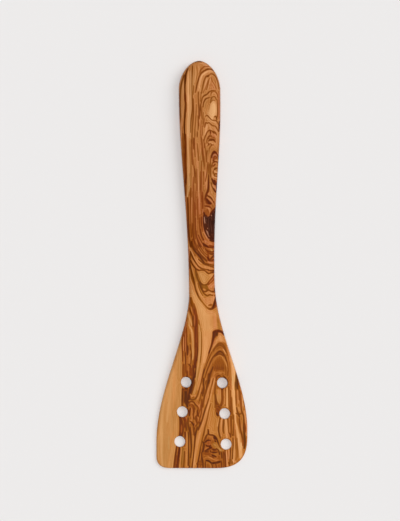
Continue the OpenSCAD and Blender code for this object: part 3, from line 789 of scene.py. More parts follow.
# stripes right of the burl
rightStripes = [
    (28, 50, [(136, 370, 6), (126, 310, 11), (123, 280, 11), (128, 250, 9), (136, 220, 7)]),
    (80, 50, [(122, 366, 5), (118, 336, 6), (113, 306, 6)]),
    (84, 75, [(148, 364, 7), (146, 334, 12), (142, 304, 12), (142, 270, 10), (146, 236, 8)]),
    (36, 50, [(162, 364, 9), (162, 326, 9), (159, 290, 8), (162, 256, 8)]),
    (90, 55, [(176, 366, 7), (178, 330, 12), (184, 254, 12), (186, 224, 8)]),
    (40, 50, [(188, 376, 8), (194, 334, 10), (196, 260, 6)]),
    (74, 65, [(204, 360, 7), (208, 320, 9), (210, 280, 7)]),
    (34, 65, [(202, 256, 8), (209, 248, 11), (212, 228, 9)]),
    (36, 50, [(216, 380, 9), (218, 330, 10), (222, 284, 9), (226, 240, 9)]),
    (70, 45, [(228, 360, 6), (229, 310, 7)]),
    (38, 48, [(236, 390, 6), (235, 340, 8), (234, 290, 9), (237, 240, 8)]),
    (94, 55, [(252, 330, 9), (260, 290, 17), (268, 240, 22), (274, 194, 24), (282, 140, 24),
     (284, 90, 20)]),
    (46, 48, [(268, 364, 7), (270, 330, 9), (274, 294, 8), (280, 260, 7)]),
    (34, 70, [(276, 366, 6), (279, 330, 9), (283, 294, 9), (298, 226, 9), (302, 196, 9)]),
    (74, 65, [(289, 350, 5), (293, 310, 7), (300, 276, 6)]),
    (30, 42, [(309, 300, 12), (312, 260, 15), (314, 180, 13), (312, 146, 12)]),
    (44, 100, [(302, 206, 9), (303, 186, 12), (301, 166, 9)]),
    (98, 25, [(288, 184, 8), (289, 160, 13), (288, 136, 8)]),
    (90, 50, [(288, 124, 10), (288, 96, 13), (280, 74, 10)]),
    (42, 48, [(246, 260, 6), (249, 210, 8), (250, 160, 8), (252, 110, 8), (250, 60, 7)]),
    (76, 48, [(241, 210, 6), (241, 160, 9), (237, 110, 10), (234, 60, 8)]),
    (36, 50, [(229, 220, 7), (230, 170, 8), (226, 120, 8), (224, 70, 8), (222, 30, 7)]),
    (46, 48, [(259, 170, 6), (262, 120, 8), (262, 70, 8)]),
    (80, 60, [(219, 180, 5), (218, 120, 6), (214, 70, 6)]),
    (34, 60, [(214, 146, 7), (210, 110, 9), (206, 30, 8)]),
    (80, 80, [(196, 134, 6), (200, 104, 9), (198, 70, 7)]),
    (46, 90, [(188, 126, 6), (192, 94, 8), (190, 50, 7)]),
    (82, 85, [(179, 126, 6), (182, 92, 9), (186, 16, 8)]),
    (30, 70, [(170, 130, 8), (175, 50, 8), (176, 10, 8)]),
    (40, 60, [(196, 40, 8), (204, 18, 8)]),
    (88, 80, [(226, 60, 8), (234, 46, 10), (246, 44, 8)]),
]

# fine stripes along the right edge of the blade
rightFine = [
    (46, 62, [(162, 580, 5), (160, 530, 7), (160, 470, 6)]),
    (70, 80, [(169, 584, 4), (170, 530, 5), (169, 470, 5)]),
    (86, 48, [(185, 590, 8), (186, 540, 14), (187, 490, 15), (188, 450, 12)]),
    (42, 55, [(197, 580, 6), (197, 520, 6), (199, 460, 5)]),
    (56, 75, [(204, 570, 5), (204, 510, 6), (206, 460, 5)]),
    (42, 45, [(220, 520, 5), (222, 460, 6), (225, 410, 6), (229, 360, 5)]),
    (50, 75, [(256, 570, 7), (258, 520, 9), (260, 476, 7)]),
    (44, 50, [(250, 550, 4), (251, 500, 5), (253, 460, 5)]),
    (36, 90, [(284, 560, 6), (286, 520, 9), (289, 446, 6)]),
    (74, 50, [(300, 520, 5), (305, 484, 7), (310, 450, 6)]),
    (64, 60, [(138, 356, 7), (136, 320, 11), (136, 280, 12), (140, 246, 10)]),
    (44, 40, [(155, 350, 4), (154, 310, 5), (154, 270, 4)]),
    (84, 55, [(176, 364, 9), (180, 290, 15), (182, 256, 16), (184, 226, 12)]),
    (72, 80, [(189, 260, 8), (191, 234, 10)]),
    (62, 75, [(200, 350, 5), (202, 310, 5), (204, 270, 5)]),
    (40, 60, [(212, 370, 8), (213, 330, 11), (216, 250, 7)]),
    (58, 55, [(224, 350, 5), (225, 300, 6), (226, 250, 5)]),
    (44, 50, [(246, 280, 5), (248, 240, 6), (250, 200, 5)]),
    (62, 75, [(240, 330, 5), (242, 290, 8), (243, 250, 8), (242, 210, 6)]),
    (44, 60, [(260, 220, 4), (262, 170, 5), (266, 120, 5), (266, 80, 4)]),
    (46, 60, [(254, 140, 5), (256, 90, 6), (254, 50, 5)]),
    (70, 65, [(245, 140, 6), (245, 90, 8), (242, 56, 6)]),
    (72, 85, [(316, 380, 6), (324, 340, 9), (328, 300, 10), (326, 260, 8)]),
    (40, 95, [(316, 330, 5), (320, 296, 10), (319, 266, 9)]),
    (30, 40, [(312, 258, 8), (316, 230, 10), (319, 196, 9), (316, 156, 8)]),
    (60, 80, [(290, 340, 6), (291, 300, 8), (294, 270, 6)]),
]

# long stripes down the middle of the grip
gripMiddle = [
    (30, 46, [(-124, 2310, 14), (-126, 2260, 20), (-124, 2210, 19)]),
    (16, 90, [(-122, 2220, 13), (-120, 2160, 17), (-121, 2090, 14)]),
    (32, 61, [(-124, 2090, 14), (-124, 2030, 17), (-119, 1970, 15), (-115, 1910, 12)]),
    (82, 36, [(-106, 2540, 16), (-103, 2460, 17), (-100, 2380, 13), (-99, 2290, 10), (-104, 2220, 7)]),
    (76, 30, [(-100, 2380, 13), (-99, 2260, 12), (-99, 2180, 14), (-98, 2090, 15), (-102, 2030, 13),
     (-108, 1990, 8)]),
    (76, 20, [(-96, 2140, 10), (-94, 2080, 12), (-97, 2040, 10)]),
    (46, 37, [(-79, 2500, 12), (-80, 2400, 10), (-81, 2280, 13), (-80, 2180, 18), (-76, 2080, 12)]),
    (40, 68, [(-69, 2320, 6), (-65, 2260, 8), (-56, 2200, 7), (-52, 2160, 10), (-50, 2100, 7)]),
    (30, 74, [(-55, 2220, 5), (-51, 2180, 10), (-48, 2140, 6)]),
    (48, 68, [(-50, 2280, 4), (-50, 2210, 8)]),
    (66, 74, [(-46, 2460, 7), (-46, 2380, 7), (-39, 2280, 9), (-37, 2220, 8)]),
    (70, 81, [(-28, 2260, 7), (-28, 2160, 9), (-24, 2080, 9), (-26, 2020, 6)]),
    (68, 77, [(-12, 2380, 6), (-10, 2356, 9), (-16, 2300, 7)]),
    (42, 68, [(-4, 2380, 6), (3, 2340, 9), (9, 2300, 8), (9, 2260, 6)]),
    (36, 68, [(6, 2370, 4), (8, 2320, 9), (18, 2235, 9), (20, 2200, 6)]),
    (46, 68, [(24, 2310, 4), (26, 2260, 6), (34, 2230, 5)]),
    (44, 68, [(-10, 2180, 6), (-9, 2110, 9), (-12, 2050, 7)]),
    (34, 76, [(12, 2180, 6), (17, 2130, 9), (16, 2090, 7)]),
    (66, 86, [(56, 2320, 5), (46, 2260, 7), (38, 2200, 9), (30, 2150, 13), (34, 2100, 14), (34, 2060, 8)]),
    (50, 86, [(22, 2220, 6), (18, 2120, 7), (24, 2060, 8)]),
    (20, 82, [(51, 2160, 5), (50, 2110, 9), (49, 2060, 13), (41, 2020, 10), (30, 1996, 8), (24, 1970, 6)]),
    (44, 50, [(50, 2410, 4), (49, 2390, 7), (47, 2374, 5)]),
]

# stripes that bend round the left of the knot
gripFoot = [
    (51, 70, [(-120, 2000, 10), (-114, 1920, 10), (-112, 1840, 9)]),
    (24, 63, [(-106, 1990, 8), (-102, 1920, 12), (-100, 1840, 12), (-98, 1750, 12), (-92, 1690, 11),
     (-82, 1630, 14)]),
    (59, 63, [(-89, 2000, 8), (-88, 1900, 9), (-86, 1800, 7)]),
    (63, 84, [(-74, 1990, 6), (-76, 1900, 8), (-78, 1800, 8), (-78, 1720, 6)]),
    (42, 81, [(-62, 1990, 7), (-59, 1900, 14), (-57, 1820, 17), (-54, 1750, 13), (-48, 1690, 9)]),
    (40, 101, [(-52, 1950, 8), (-50, 1900, 13), (-46, 1860, 8)]),
    (59, 77, [(-39, 1900, 5), (-38, 1810, 7), (-37, 1750, 5)]),
    (59, 98, [(-20, 2020, 6), (-17, 1940, 13), (-14, 1870, 10)]),
    (73, 63, [(-25, 2120, 5), (-26, 2050, 6), (-23, 1990, 4)]),
    (34, 89, [(4, 2030, 7), (6, 1970, 9), (4, 1910, 8)]),
    (22, 93, [(20, 1980, 5), (34, 2002, 6), (52, 2001, 8), (70, 1989, 9), (86, 1964, 10), (98, 1940, 8)]),
    (63, 66, [(96, 2030, 6), (99, 1990, 10), (99, 1940, 9)]),
    (22, 86, [(39, 1984, 8), (38, 1970, 20), (44, 1956, 30), (56, 1948, 26)]),
    (61, 69, [(74, 1964, 7), (84, 1946, 9)]),
    (49, 90, [(30, 1942, 6), (50, 1939, 7), (70, 1934, 6)]),
    (26, 83, [(22, 1930, 6), (44, 1928, 8), (62, 1920, 7), (72, 1908, 6)]),
    (67, 90, [(49, 1918, 8), (59, 1912, 9)]),
    (36, 83, [(42, 1906, 8), (44, 1886, 18), (42, 1870, 14)]),
    (16, 90, [(22, 1884, 5), (20, 1870, 11), (14, 1854, 7)]),
    (55, 118, [(10, 1906, 6), (6, 1880, 6)]),
    (50, 137, [(0, 1844, 4), (3, 1814, 6)]),
    (27, 142, [(-4, 1850, 5), (-2, 1816, 6), (0, 1784, 4)]),
    (34, 84, [(-16, 1840, 6), (-16, 1780, 7), (-8, 1720, 6), (8, 1676, 6)]),
    (50, 77, [(-28, 1800, 6), (-24, 1740, 7), (-12, 1690, 6), (6, 1654, 5)]),
    (33, 84, [(-44, 1740, 7), (-38, 1706, 9), (-8, 1640, 9), (10, 1615, 7)]),
    (35, 84, [(-64, 1680, 16), (-56, 1644, 30), (-40, 1614, 22)]),
    (55, 42, [(-98, 1670, 7), (-93, 1630, 11), (-86, 1600, 8)]),
    (9, 105, [(6, 1654, 6), (24, 1642, 10), (46, 1630, 11), (74, 1624, 9), (90, 1626, 8)]),
    (42, 61, [(14, 1630, 6), (38, 1614, 9), (76, 1608, 8)]),
    (34, 61, [(90, 1600, 7), (60, 1594, 8), (34, 1602, 6)]),
]

# lone rings on the right half of the grip
gripRings = [
    (44, 64, [(38, 2366, 3), (40, 2390, 4), (46, 2416, 4)]),
    (44, 50, [(54, 2334, 3), (62, 2360, 4), (74, 2382, 5), (88, 2376, 5), (100, 2362, 4)]),
    (36, 78, [(40, 2336, 5), (34, 2296, 6), (36, 2254, 5)]),
    (28, 83, [(46, 2250, 4), (40, 2210, 5), (36, 2164, 5), (26, 2110, 5)]),
    (54, 103, [(4, 2220, 3), (2, 2150, 5), (2, 2080, 5), (0, 2010, 4)]),
    (36, 78, [(-2, 2260, 4), (-4, 2190, 6), (-4, 2120, 6), (-6, 2040, 6), (-4, 1960, 5)]),
    (38, 78, [(-36, 2200, 4), (-36, 2120, 6), (-34, 2040, 5)]),
    (38, 78, [(-62, 2140, 5), (-64, 2060, 7), (-64, 1980, 5)]),
    (62, 88, [(-70, 2220, 3), (-70, 2130, 4), (-69, 2040, 4)]),
    (34, 73, [(-82, 2060, 5), (-84, 1970, 7), (-84, 1880, 6), (-80, 1780, 6), (-76, 1700, 5)]),
    (34, 92, [(-30, 1980, 5), (-30, 1900, 6), (-30, 1830, 5)]),
    (27, 92, [(-46, 1840, 5), (-46, 1780, 6), (-42, 1720, 6), (-30, 1670, 6), (-16, 1630, 5)]),
    (25, 92, [(-66, 1800, 5), (-66, 1740, 7), (-60, 1690, 7), (-52, 1650, 6)]),
    (10, 97, [(-10, 1760, 4), (-4, 1720, 5), (8, 1690, 6), (22, 1666, 5)]),
    (20, 92, [(-24, 1714, 4), (-12, 1684, 5), (16, 1634, 5)]),
    (55, 112, [(-34, 1710, 4), (-22, 1680, 6), (8, 1626, 5)]),
    (10, 93, [(-24, 1654, 4), (-8, 1624, 5), (12, 1600, 5), (32, 1586, 5)]),
]

# closed rings above the knot
ringStack = [
    (64, 60, [(75, 2342, 4), (66, 2320, 7), (58, 2261, 8), (56, 2234, 6)]),
    (38, 55, [(67, 2303, 4), (63, 2254, 6), (63, 2195, 7), (63, 2168, 7), (66, 2143, 5)]),
    (34, 55, [(54, 2239, 4), (51, 2214, 7), (52, 2170, 5)]),
    (10, 100, [(74, 2285, 6), (75, 2303, 9), (81, 2316, 13), (92, 2325, 17), (103, 2324, 14),
     (111, 2316, 9), (118, 2306, 7), (122, 2293, 6), (123, 2273, 5)]),
    (8, 100, [(83, 2323, 5), (92, 2332, 10), (99, 2327, 6)]),
    (64, 100, [(112, 2327, 4), (117, 2319, 7), (120, 2310, 5)]),
    (56, 150, [(78, 2273, 4), (81, 2290, 7), (86, 2302, 9), (96, 2308, 10), (106, 2306, 8),
     (112, 2298, 6)]),
    (30, 120, [(85, 2268, 5), (87, 2285, 8), (95, 2295, 9), (105, 2294, 7), (110, 2285, 5)]),
    (42, 140, [(91, 2271, 5), (98, 2280, 10), (106, 2280, 7)]),
    (8, 100, [(83, 2267, 5), (86, 2265, 8), (90, 2263, 4)]),
    (66, 80, [(96, 2267, 4), (106, 2267, 7), (116, 2263, 5)]),
    (62, 100, [(75, 2278, 4), (73, 2263, 6), (72, 2249, 4)]),
    (16, 90, [(80, 2244, 5), (86, 2252, 7), (96, 2257, 7), (107, 2257, 6), (121, 2250, 5)]),
    (60, 100, [(82, 2234, 4), (90, 2242, 6), (101, 2249, 5)]),
    (24, 80, [(84, 2221, 5), (90, 2229, 8), (99, 2237, 6)]),
    (60, 80, [(85, 2212, 4), (92, 2220, 6), (100, 2229, 5)]),
    (30, 60, [(73, 2214, 4), (75, 2227, 7), (78, 2236, 5)]),
    (56, 40, [(110, 2249, 8), (111, 2231, 14), (110, 2214, 10)]),
    (26, 45, [(91, 2197, 5), (98, 2204, 10), (106, 2209, 9), (114, 2212, 5)]),
    (60, 80, [(80, 2200, 4), (81, 2190, 7), (83, 2177, 5)]),
    (32, 65, [(86, 2190, 4), (85, 2180, 7), (87, 2168, 4)]),
    (82, 60, [(93, 2189, 6), (100, 2182, 14), (110, 2177, 13), (118, 2175, 7)]),
    (32, 65, [(92, 2157, 4), (96, 2166, 6), (106, 2170, 7), (116, 2166, 5)]),
    (32, 65, [(95, 2151, 4), (105, 2148, 6), (115, 2148, 5)]),
    (80, 75, [(77, 2160, 4), (82, 2147, 8), (92, 2142, 8), (105, 2140, 9), (117, 2137, 7)]),
    (15, 80, [(71, 2138), (83, 2130), (110, 2122), (118, 2116), (118, 2094), (110, 2087), (95, 2085),
     (86, 2094), (78, 2109), (73, 2123)], 3),
    (66, 90, [(83, 2136, 3), (87, 2128, 5), (94, 2126, 4)]),
    (60, 90, [(99, 2130, 4), (106, 2121, 7), (112, 2111, 7), (115, 2104, 4)]),
    (26, 80, [(87, 2118, 4), (96, 2111, 9), (105, 2101, 8)]),
    (6, 90, [(73, 2130, 5), (80, 2111, 8), (88, 2096, 8), (100, 2087, 7)]),
    (50, 140, [(95, 2082, 4), (100, 2079, 7), (105, 2073, 5)]),
    (10, 130, [(107, 2091, 8), (111, 2074, 10), (111, 2055, 9), (107, 2040, 7)]),
    (66, 130, [(83, 2084, 5), (99, 2060, 10), (103, 2046, 7)]),
    (26, 40, [(70, 2101, 5), (73, 2084, 7), (81, 2064, 7), (90, 2047, 7), (100, 2033, 6)]),
    (66, 55, [(75, 2087, 4), (82, 2074, 6), (87, 2064, 4)]),
    (14, 80, [(87, 2060, 5), (94, 2046, 10), (103, 2034, 9)]),
    (66, 60, [(60, 2094, 5), (68, 2050, 11), (75, 2028, 11)]),
    (16, 90, [(50, 2155, 4), (50, 2101, 9), (48, 2072, 9), (44, 2045, 9), (35, 2025, 9), (29, 2006, 10),
     (26, 1986, 9)]),
    (64, 95, [(45, 2018, 6), (53, 2023, 10), (60, 2028, 6)]),
    (62, 55, [(48, 2018, 6), (60, 2012, 10), (73, 2001, 10), (83, 1985, 8), (87, 1969, 5)]),
    (62, 55, [(48, 2018, 6), (60, 2012, 10), (73, 2001, 10), (83, 1985, 8), (87, 1969, 5)]),
    (22, 60, [(45, 2002, 5), (57, 1996, 8), (69, 1986, 8), (78, 1976, 6)]),
    (60, 95, [(41, 1989, 4), (52, 1982, 8), (63, 1972, 9), (75, 1961, 7)]),
    (7, 100, [(30, 1983), (38, 1985), (58, 1964), (74, 1951), (75, 1944), (58, 1942), (44, 1945),
     (42, 1954), (36, 1966)], 3),
]

# head of the grip, with the rings round the pale eye, and painted shade along its left edge and round its
# tip
gripHead = [
    (60, 52, [(-175, 2376), (-175, 2782), (-150, 2892), (-84, 2986), (-19, 3015), (38, 3003), (104, 2937),
     (145, 2843), (153, 2700), (145, 2376)], 15),
    # painted shade: this dark olive-brown stroke runs along the rounded left edge of the grip head, where
    # that edge turns away from the light
    (37, 30, [(-132, 2892, 9), (-150, 2831, 11), (-159, 2773, 12), (-162, 2700, 14), (-161, 2638, 12),
     (-157, 2577, 9), (-151, 2515, 6)]),
    (69, 40, [(-137, 2851, 5), (-140, 2798, 11), (-141, 2732, 13), (-143, 2667, 13), (-144, 2610, 11),
     (-145, 2569, 7)]),
    (57, 80, [(-147, 2569, 10), (-148, 2520, 15), (-147, 2462, 14), (-143, 2413, 10)]),
    (76, 60, [(-151, 2577, 4), (-153, 2515, 5), (-148, 2434, 5)]),
    (40, 50, [(-140, 2462, 6), (-137, 2413, 9), (-135, 2356, 9)]),
    (16, 50, [(-101, 2945, 5), (-112, 2921, 9), (-120, 2888, 13), (-123, 2855, 13), (-125, 2814, 9),
     (-125, 2773, 9), (-124, 2741, 13), (-123, 2708, 12), (-122, 2675, 8), (-125, 2593, 12),
     (-127, 2561, 10), (-129, 2520, 12), (-128, 2479, 10), (-125, 2430, 11), (-120, 2389, 12),
     (-119, 2356, 10)]),
    (22, 100, [(-123, 2757, 7), (-122, 2724, 10), (-120, 2691, 6)]),
    (54, 60, [(-118, 2822, 4), (-115, 2798, 6), (-114, 2765, 5)]),
    (42, 75, [(-115, 2691, 5), (-114, 2651, 6), (-117, 2618, 5)]),
    (89, 50, [(-95, 2921, 6), (-99, 2880, 14), (-101, 2831, 18), (-102, 2782, 17), (-100, 2732, 16),
     (-99, 2683, 15), (-99, 2601, 13), (-102, 2561, 11), (-102, 2511, 12), (-102, 2462, 13),
     (-102, 2413, 13), (-102, 2356, 13)]),
    (93, 75, [(-105, 2765, 6), (-103, 2724, 9), (-102, 2683, 6)]),
    (75, 25, [(-83, 2925, 5), (-82, 2872, 11), (-81, 2814, 12), (-81, 2749, 12), (-82, 2691, 12),
     (-84, 2642, 13), (-89, 2601, 15), (-92, 2561, 13), (-91, 2520, 9), (-90, 2479, 8), (-89, 2430, 7)]),
    (47, 40, [(-88, 2929, 3), (-87, 2863, 4), (-87, 2798, 4), (-88, 2749, 3)]),
    (36, 35, [(-70, 2962, 5), (-71, 2921, 7), (-73, 2872, 6), (-74, 2822, 6), (-73, 2773, 6),
     (-71, 2732, 9), (-69, 2659, 8), (-72, 2618, 7), (-78, 2577, 7), (-82, 2528, 6), (-84, 2470, 5)]),
    (59, 25, [(-56, 2929, 8), (-60, 2880, 13), (-62, 2831, 16), (-64, 2790, 15), (-62, 2749, 12)]),
    (38, 40, [(-60, 2814, 5), (-62, 2782, 6), (-64, 2749, 5)]),
    (37, 41, [(-63, 2716, 8), (-62, 2634, 10), (-66, 2552, 9), (-70, 2503, 9), (-72, 2446, 9),
     (-73, 2389, 8)]),
    (35, 46, [(-41, 2675, 4), (-41, 2634, 6), (-44, 2585, 6), (-47, 2536, 6), (-51, 2487, 6),
     (-51, 2438, 6), (-52, 2380, 6)]),
    (62, 56, [(-35, 2708, 6), (-35, 2659, 8), (-36, 2610, 7), (-39, 2561, 6), (-41, 2503, 6),
     (-42, 2438, 7), (-44, 2372, 6)]),
    (29, 46, [(-28, 2593, 4), (-26, 2552, 7), (-26, 2520, 7), (-28, 2487, 4)]),
    (38, 50, [(-22, 2798, 5), (-26, 2757, 7), (-26, 2716, 7), (-20, 2634, 8), (-20, 2601, 9),
     (-18, 2569, 6)]),
    (32, 50, [(-8, 2667, 4), (-9, 2626, 8), (-9, 2593, 6)]),
    (39, 60, [(-4, 2561, 4), (-8, 2479, 6), (-7, 2430, 5), (-4, 2372, 5)]),
    (65, 64, [(4, 2561, 5), (2, 2479, 7), (2, 2430, 7), (4, 2372, 6)]),
    (74, 70, [(-19, 2982, 6), (-3, 2982, 12), (22, 2974, 13), (67, 2937, 6)]),
    # painted shade: a thin dark olive line along the rounded tip, where the tip turns away from the light
    (39, 10, [(-48, 2992, 6), (-15, 2996, 10), (-3, 2990, 6)]),
    (74, 45, [(-52, 2974, 6), (-44, 2913, 11), (-48, 2872, 12), (-53, 2839, 10)]),
    (47, 40, [(-41, 2953, 4), (-33, 2929, 6), (-35, 2896, 6), (-44, 2831, 6), (-48, 2798, 5)]),
    (76, 50, [(-27, 2966, 5), (-21, 2941, 8), (-24, 2913, 7)]),
    (49, 45, [(22, 2962, 4), (10, 2958, 5), (-3, 2949, 6), (-11, 2937, 6), (-16, 2921, 6)]),
    (68, 60, [(38, 2953, 5), (22, 2951, 7), (8, 2945, 7), (-3, 2935, 6)]),
    (45, 50, [(-17, 2917), (-11, 2935), (6, 2943), (30, 2941), (46, 2943), (63, 2941), (26, 2929),
     (10, 2917), (-19, 2888)], 5),
    (31, 50, [(87, 2929, 5), (71, 2938, 7), (55, 2939, 8), (38, 2935, 9), (10, 2917, 10), (-3, 2904, 10),
     (-13, 2890, 10), (-21, 2872, 9), (-34, 2827, 8), (-45, 2777, 7), (-49, 2761, 4)]),
    (59, 55, [(22, 2935, 3), (10, 2931, 4), (-1, 2923, 4)]),
    (53, 55, [(10, 2939, 3), (-3, 2931, 3), (-9, 2921, 3)]),
    (88, 60, [(83, 2917, 4), (67, 2925, 8), (49, 2920, 13), (30, 2912, 15), (14, 2902, 16), (1, 2888, 17),
     (-12, 2843, 14), (-22, 2794, 9), (-26, 2773, 6)]),
    (94, 50, [(46, 2920, 5), (26, 2910, 8), (6, 2892, 9), (-3, 2872, 8)]),
    (68, 55, [(10, 2892, 3), (4, 2872, 4), (-7, 2822, 4)]),
    (37, 50, [(68, 2904, 4), (44, 2886, 11), (34, 2884, 10), (25, 2872, 8), (14, 2839, 8), (5, 2798, 7),
     (-3, 2757, 5)]),
    (25, 45, [(53, 2889, 5), (45, 2885, 9), (37, 2884, 5)]),
    (43, 50, [(63, 2904, 5), (79, 2902, 7), (94, 2894, 7), (104, 2880, 7), (118, 2843, 7), (127, 2794, 6)]),
    (70, 50, [(79, 2892, 4), (92, 2883, 6), (102, 2867, 6), (109, 2847, 6), (114, 2822, 6)]),
    (49, 50, [(74, 2890, 4), (77, 2872, 6), (83, 2859, 7), (94, 2851, 7), (101, 2835, 7), (110, 2790, 5)]),
    (51, 50, [(85, 2892, 3), (100, 2859, 5), (105, 2843, 5)]),
    (76, 60, [(64, 2892, 6), (65, 2876, 9), (63, 2859, 9), (59, 2843, 6)]),
    (78, 60, [(42, 2867, 5), (34, 2847, 8), (22, 2798, 8), (17, 2777, 6)]),
    (43, 50, [(57, 2872, 4), (46, 2831, 6), (35, 2786, 5)]),
    (74, 65, [(65, 2851, 4), (52, 2806, 8), (46, 2786, 6)]),
    (47, 50, [(75, 2855, 4), (63, 2814, 5), (57, 2794, 4)]),
    (64, 75, [(71, 2831), (83, 2843), (96, 2831), (112, 2786), (87, 2786), (63, 2777), (59, 2798)], 6),
    (53, 60, [(83, 2835, 3), (79, 2814, 4), (71, 2794, 4)]),
    (53, 60, [(91, 2831, 3), (97, 2810, 4), (102, 2790, 4)]),
    (38, 50, [(-7, 2765, 4), (-8, 2732, 5), (-10, 2700, 5)]),
    (32, 50, [(104, 2782, 3), (83, 2782, 6), (68, 2777, 7), (55, 2770, 8), (37, 2750, 10), (25, 2745, 10),
     (15, 2738, 10), (6, 2726, 10), (-3, 2691, 8), (-8, 2671, 8), (-9, 2646, 8), (-10, 2618, 5)]),
    (71, 60, [(63, 2767, 4), (40, 2741, 7), (18, 2728, 8), (11, 2716, 7), (1, 2679, 5)]),
    (30, 50, [(63, 2732, 3), (51, 2726, 6), (38, 2722, 8), (28, 2716, 9), (15, 2694, 8), (11, 2679, 7),
     (9, 2659, 6)]),
    (65, 40, [(46, 2714, 4), (34, 2706, 8), (25, 2691, 10), (22, 2671, 12), (20, 2618, 9), (18, 2593, 6)]),
    (48, 40, [(38, 2696, 4), (30, 2675, 5), (28, 2646, 5)]),
    (44, 45, [(2, 2659, 4), (0, 2593, 5), (1, 2569, 4)]),
    (40, 45, [(12, 2618, 3), (8, 2556, 5), (6, 2528, 4)]),
    (42, 60, [(68, 2741, 5), (68, 2757, 6), (76, 2769, 7), (89, 2774, 7), (104, 2769, 7), (114, 2753, 6),
     (120, 2728, 5)]),
    (67, 60, [(71, 2737, 5), (75, 2753, 8), (87, 2761, 9), (101, 2755, 8), (109, 2737, 6)]),
    (36, 40, [(61, 2691, 4), (70, 2722, 7), (80, 2733, 7), (92, 2736, 7), (102, 2728, 6), (107, 2712, 5)]),
    (50, 30, [(87, 2724, 6), (79, 2718, 8), (73, 2708, 6)]),
    (34, 40, [(63, 2687, 5), (70, 2698, 6), (79, 2707, 6), (89, 2709, 5), (97, 2704, 4)]),
    (88, 38, [(65, 2679), (75, 2696), (87, 2704), (101, 2694), (109, 2671), (112, 2642), (111, 2614),
     (104, 2593), (89, 2583), (81, 2565), (72, 2561), (52, 2597), (49, 2618), (55, 2638), (59, 2659)], 7),
    (99, 36, [(89, 2679, 14), (91, 2651, 24), (89, 2622, 24), (83, 2597, 14)]),
    (98, 50, [(77, 2585, 6), (75, 2573, 8)]),
    (71, 42, [(52, 2667, 5), (42, 2618, 9), (46, 2601, 5)]),
    (50, 40, [(59, 2675, 4), (54, 2655, 5), (51, 2638, 4)]),
    (46, 90, [(123, 2773, 5), (125, 2732, 9), (123, 2651, 12), (125, 2610, 13), (127, 2577, 10)]),
    (40, 50, [(114, 2716, 4), (116, 2651, 6), (117, 2618, 6), (115, 2585, 5)]),
    (65, 85, [(131, 2675, 4), (132, 2634, 6), (132, 2593, 5)]),
    (33, 40, [(92, 2585, 5), (100, 2592, 8), (107, 2585, 8), (111, 2569, 8)]),
    (17, 50, [(130, 2556, 6), (129, 2528, 11), (128, 2499, 9), (124, 2479, 5)]),
    (34, 45, [(26, 2585, 3), (32, 2595, 4), (40, 2597, 6), (58, 2578, 6), (68, 2568, 6), (79, 2561, 6),
     (105, 2559, 6), (115, 2549, 5), (122, 2532, 4)]),
    (79, 50, [(46, 2577, 4), (70, 2556, 6), (104, 2546, 5)]),
    (75, 45, [(34, 2581, 5), (41, 2569, 8), (51, 2556, 8), (63, 2544, 6)]),
    (36, 50, [(22, 2515, 3), (24, 2536, 5), (30, 2543, 7), (42, 2538, 7), (53, 2544, 6), (76, 2523, 8),
     (91, 2520, 7), (104, 2513, 7), (121, 2483, 6)]),
    (52, 50, [(22, 2552, 3), (31, 2565, 5), (42, 2558, 5)]),
    (78, 60, [(79, 2548, 5), (91, 2544, 7), (104, 2536, 6), (114, 2520, 4)]),
    (87, 65, [(38, 2528, 6), (37, 2511, 14), (32, 2491, 16), (22, 2454, 7)]),
    (77, 60, [(51, 2526, 5), (59, 2515, 8), (67, 2503, 8), (71, 2491, 5)]),
    (46, 50, [(49, 2520, 3), (46, 2499, 5), (42, 2479, 4)]),
    (72, 65, [(79, 2507, 5), (102, 2491, 7), (110, 2479, 5)]),
    (32, 64, [(16, 2401, 4), (19, 2421, 6), (24, 2438, 7), (38, 2470, 8), (47, 2480, 8), (58, 2488, 8),
     (79, 2480, 7), (91, 2479, 7), (101, 2470, 8), (109, 2454, 6)]),
    (16, 94, [(63, 2483, 5), (64, 2470, 9), (63, 2458, 4)]),
    (25, 65, [(79, 2474, 5), (87, 2469, 8), (97, 2466, 7)]),
    (72, 80, [(74, 2462, 5), (86, 2454, 11), (97, 2448, 11), (106, 2438, 5)]),
    (34, 64, [(30, 2389, 3), (43, 2430, 6), (52, 2442, 7), (63, 2450, 6), (75, 2444, 5)]),
    (36, 50, [(46, 2425, 4), (56, 2424, 6), (68, 2430, 7), (79, 2433, 7), (91, 2430, 7), (101, 2422, 6)]),
    (26, 55, [(55, 2413, 5), (65, 2411, 8), (79, 2416, 8), (91, 2413, 6)]),
    (79, 74, [(33, 2372, 5), (43, 2387, 7), (55, 2398, 8), (65, 2403, 7), (74, 2394, 6), (83, 2380, 6),
     (91, 2372, 5)]),
    (40, 64, [(43, 2372, 4), (55, 2384, 6), (65, 2389, 5), (73, 2376, 4)]),
]

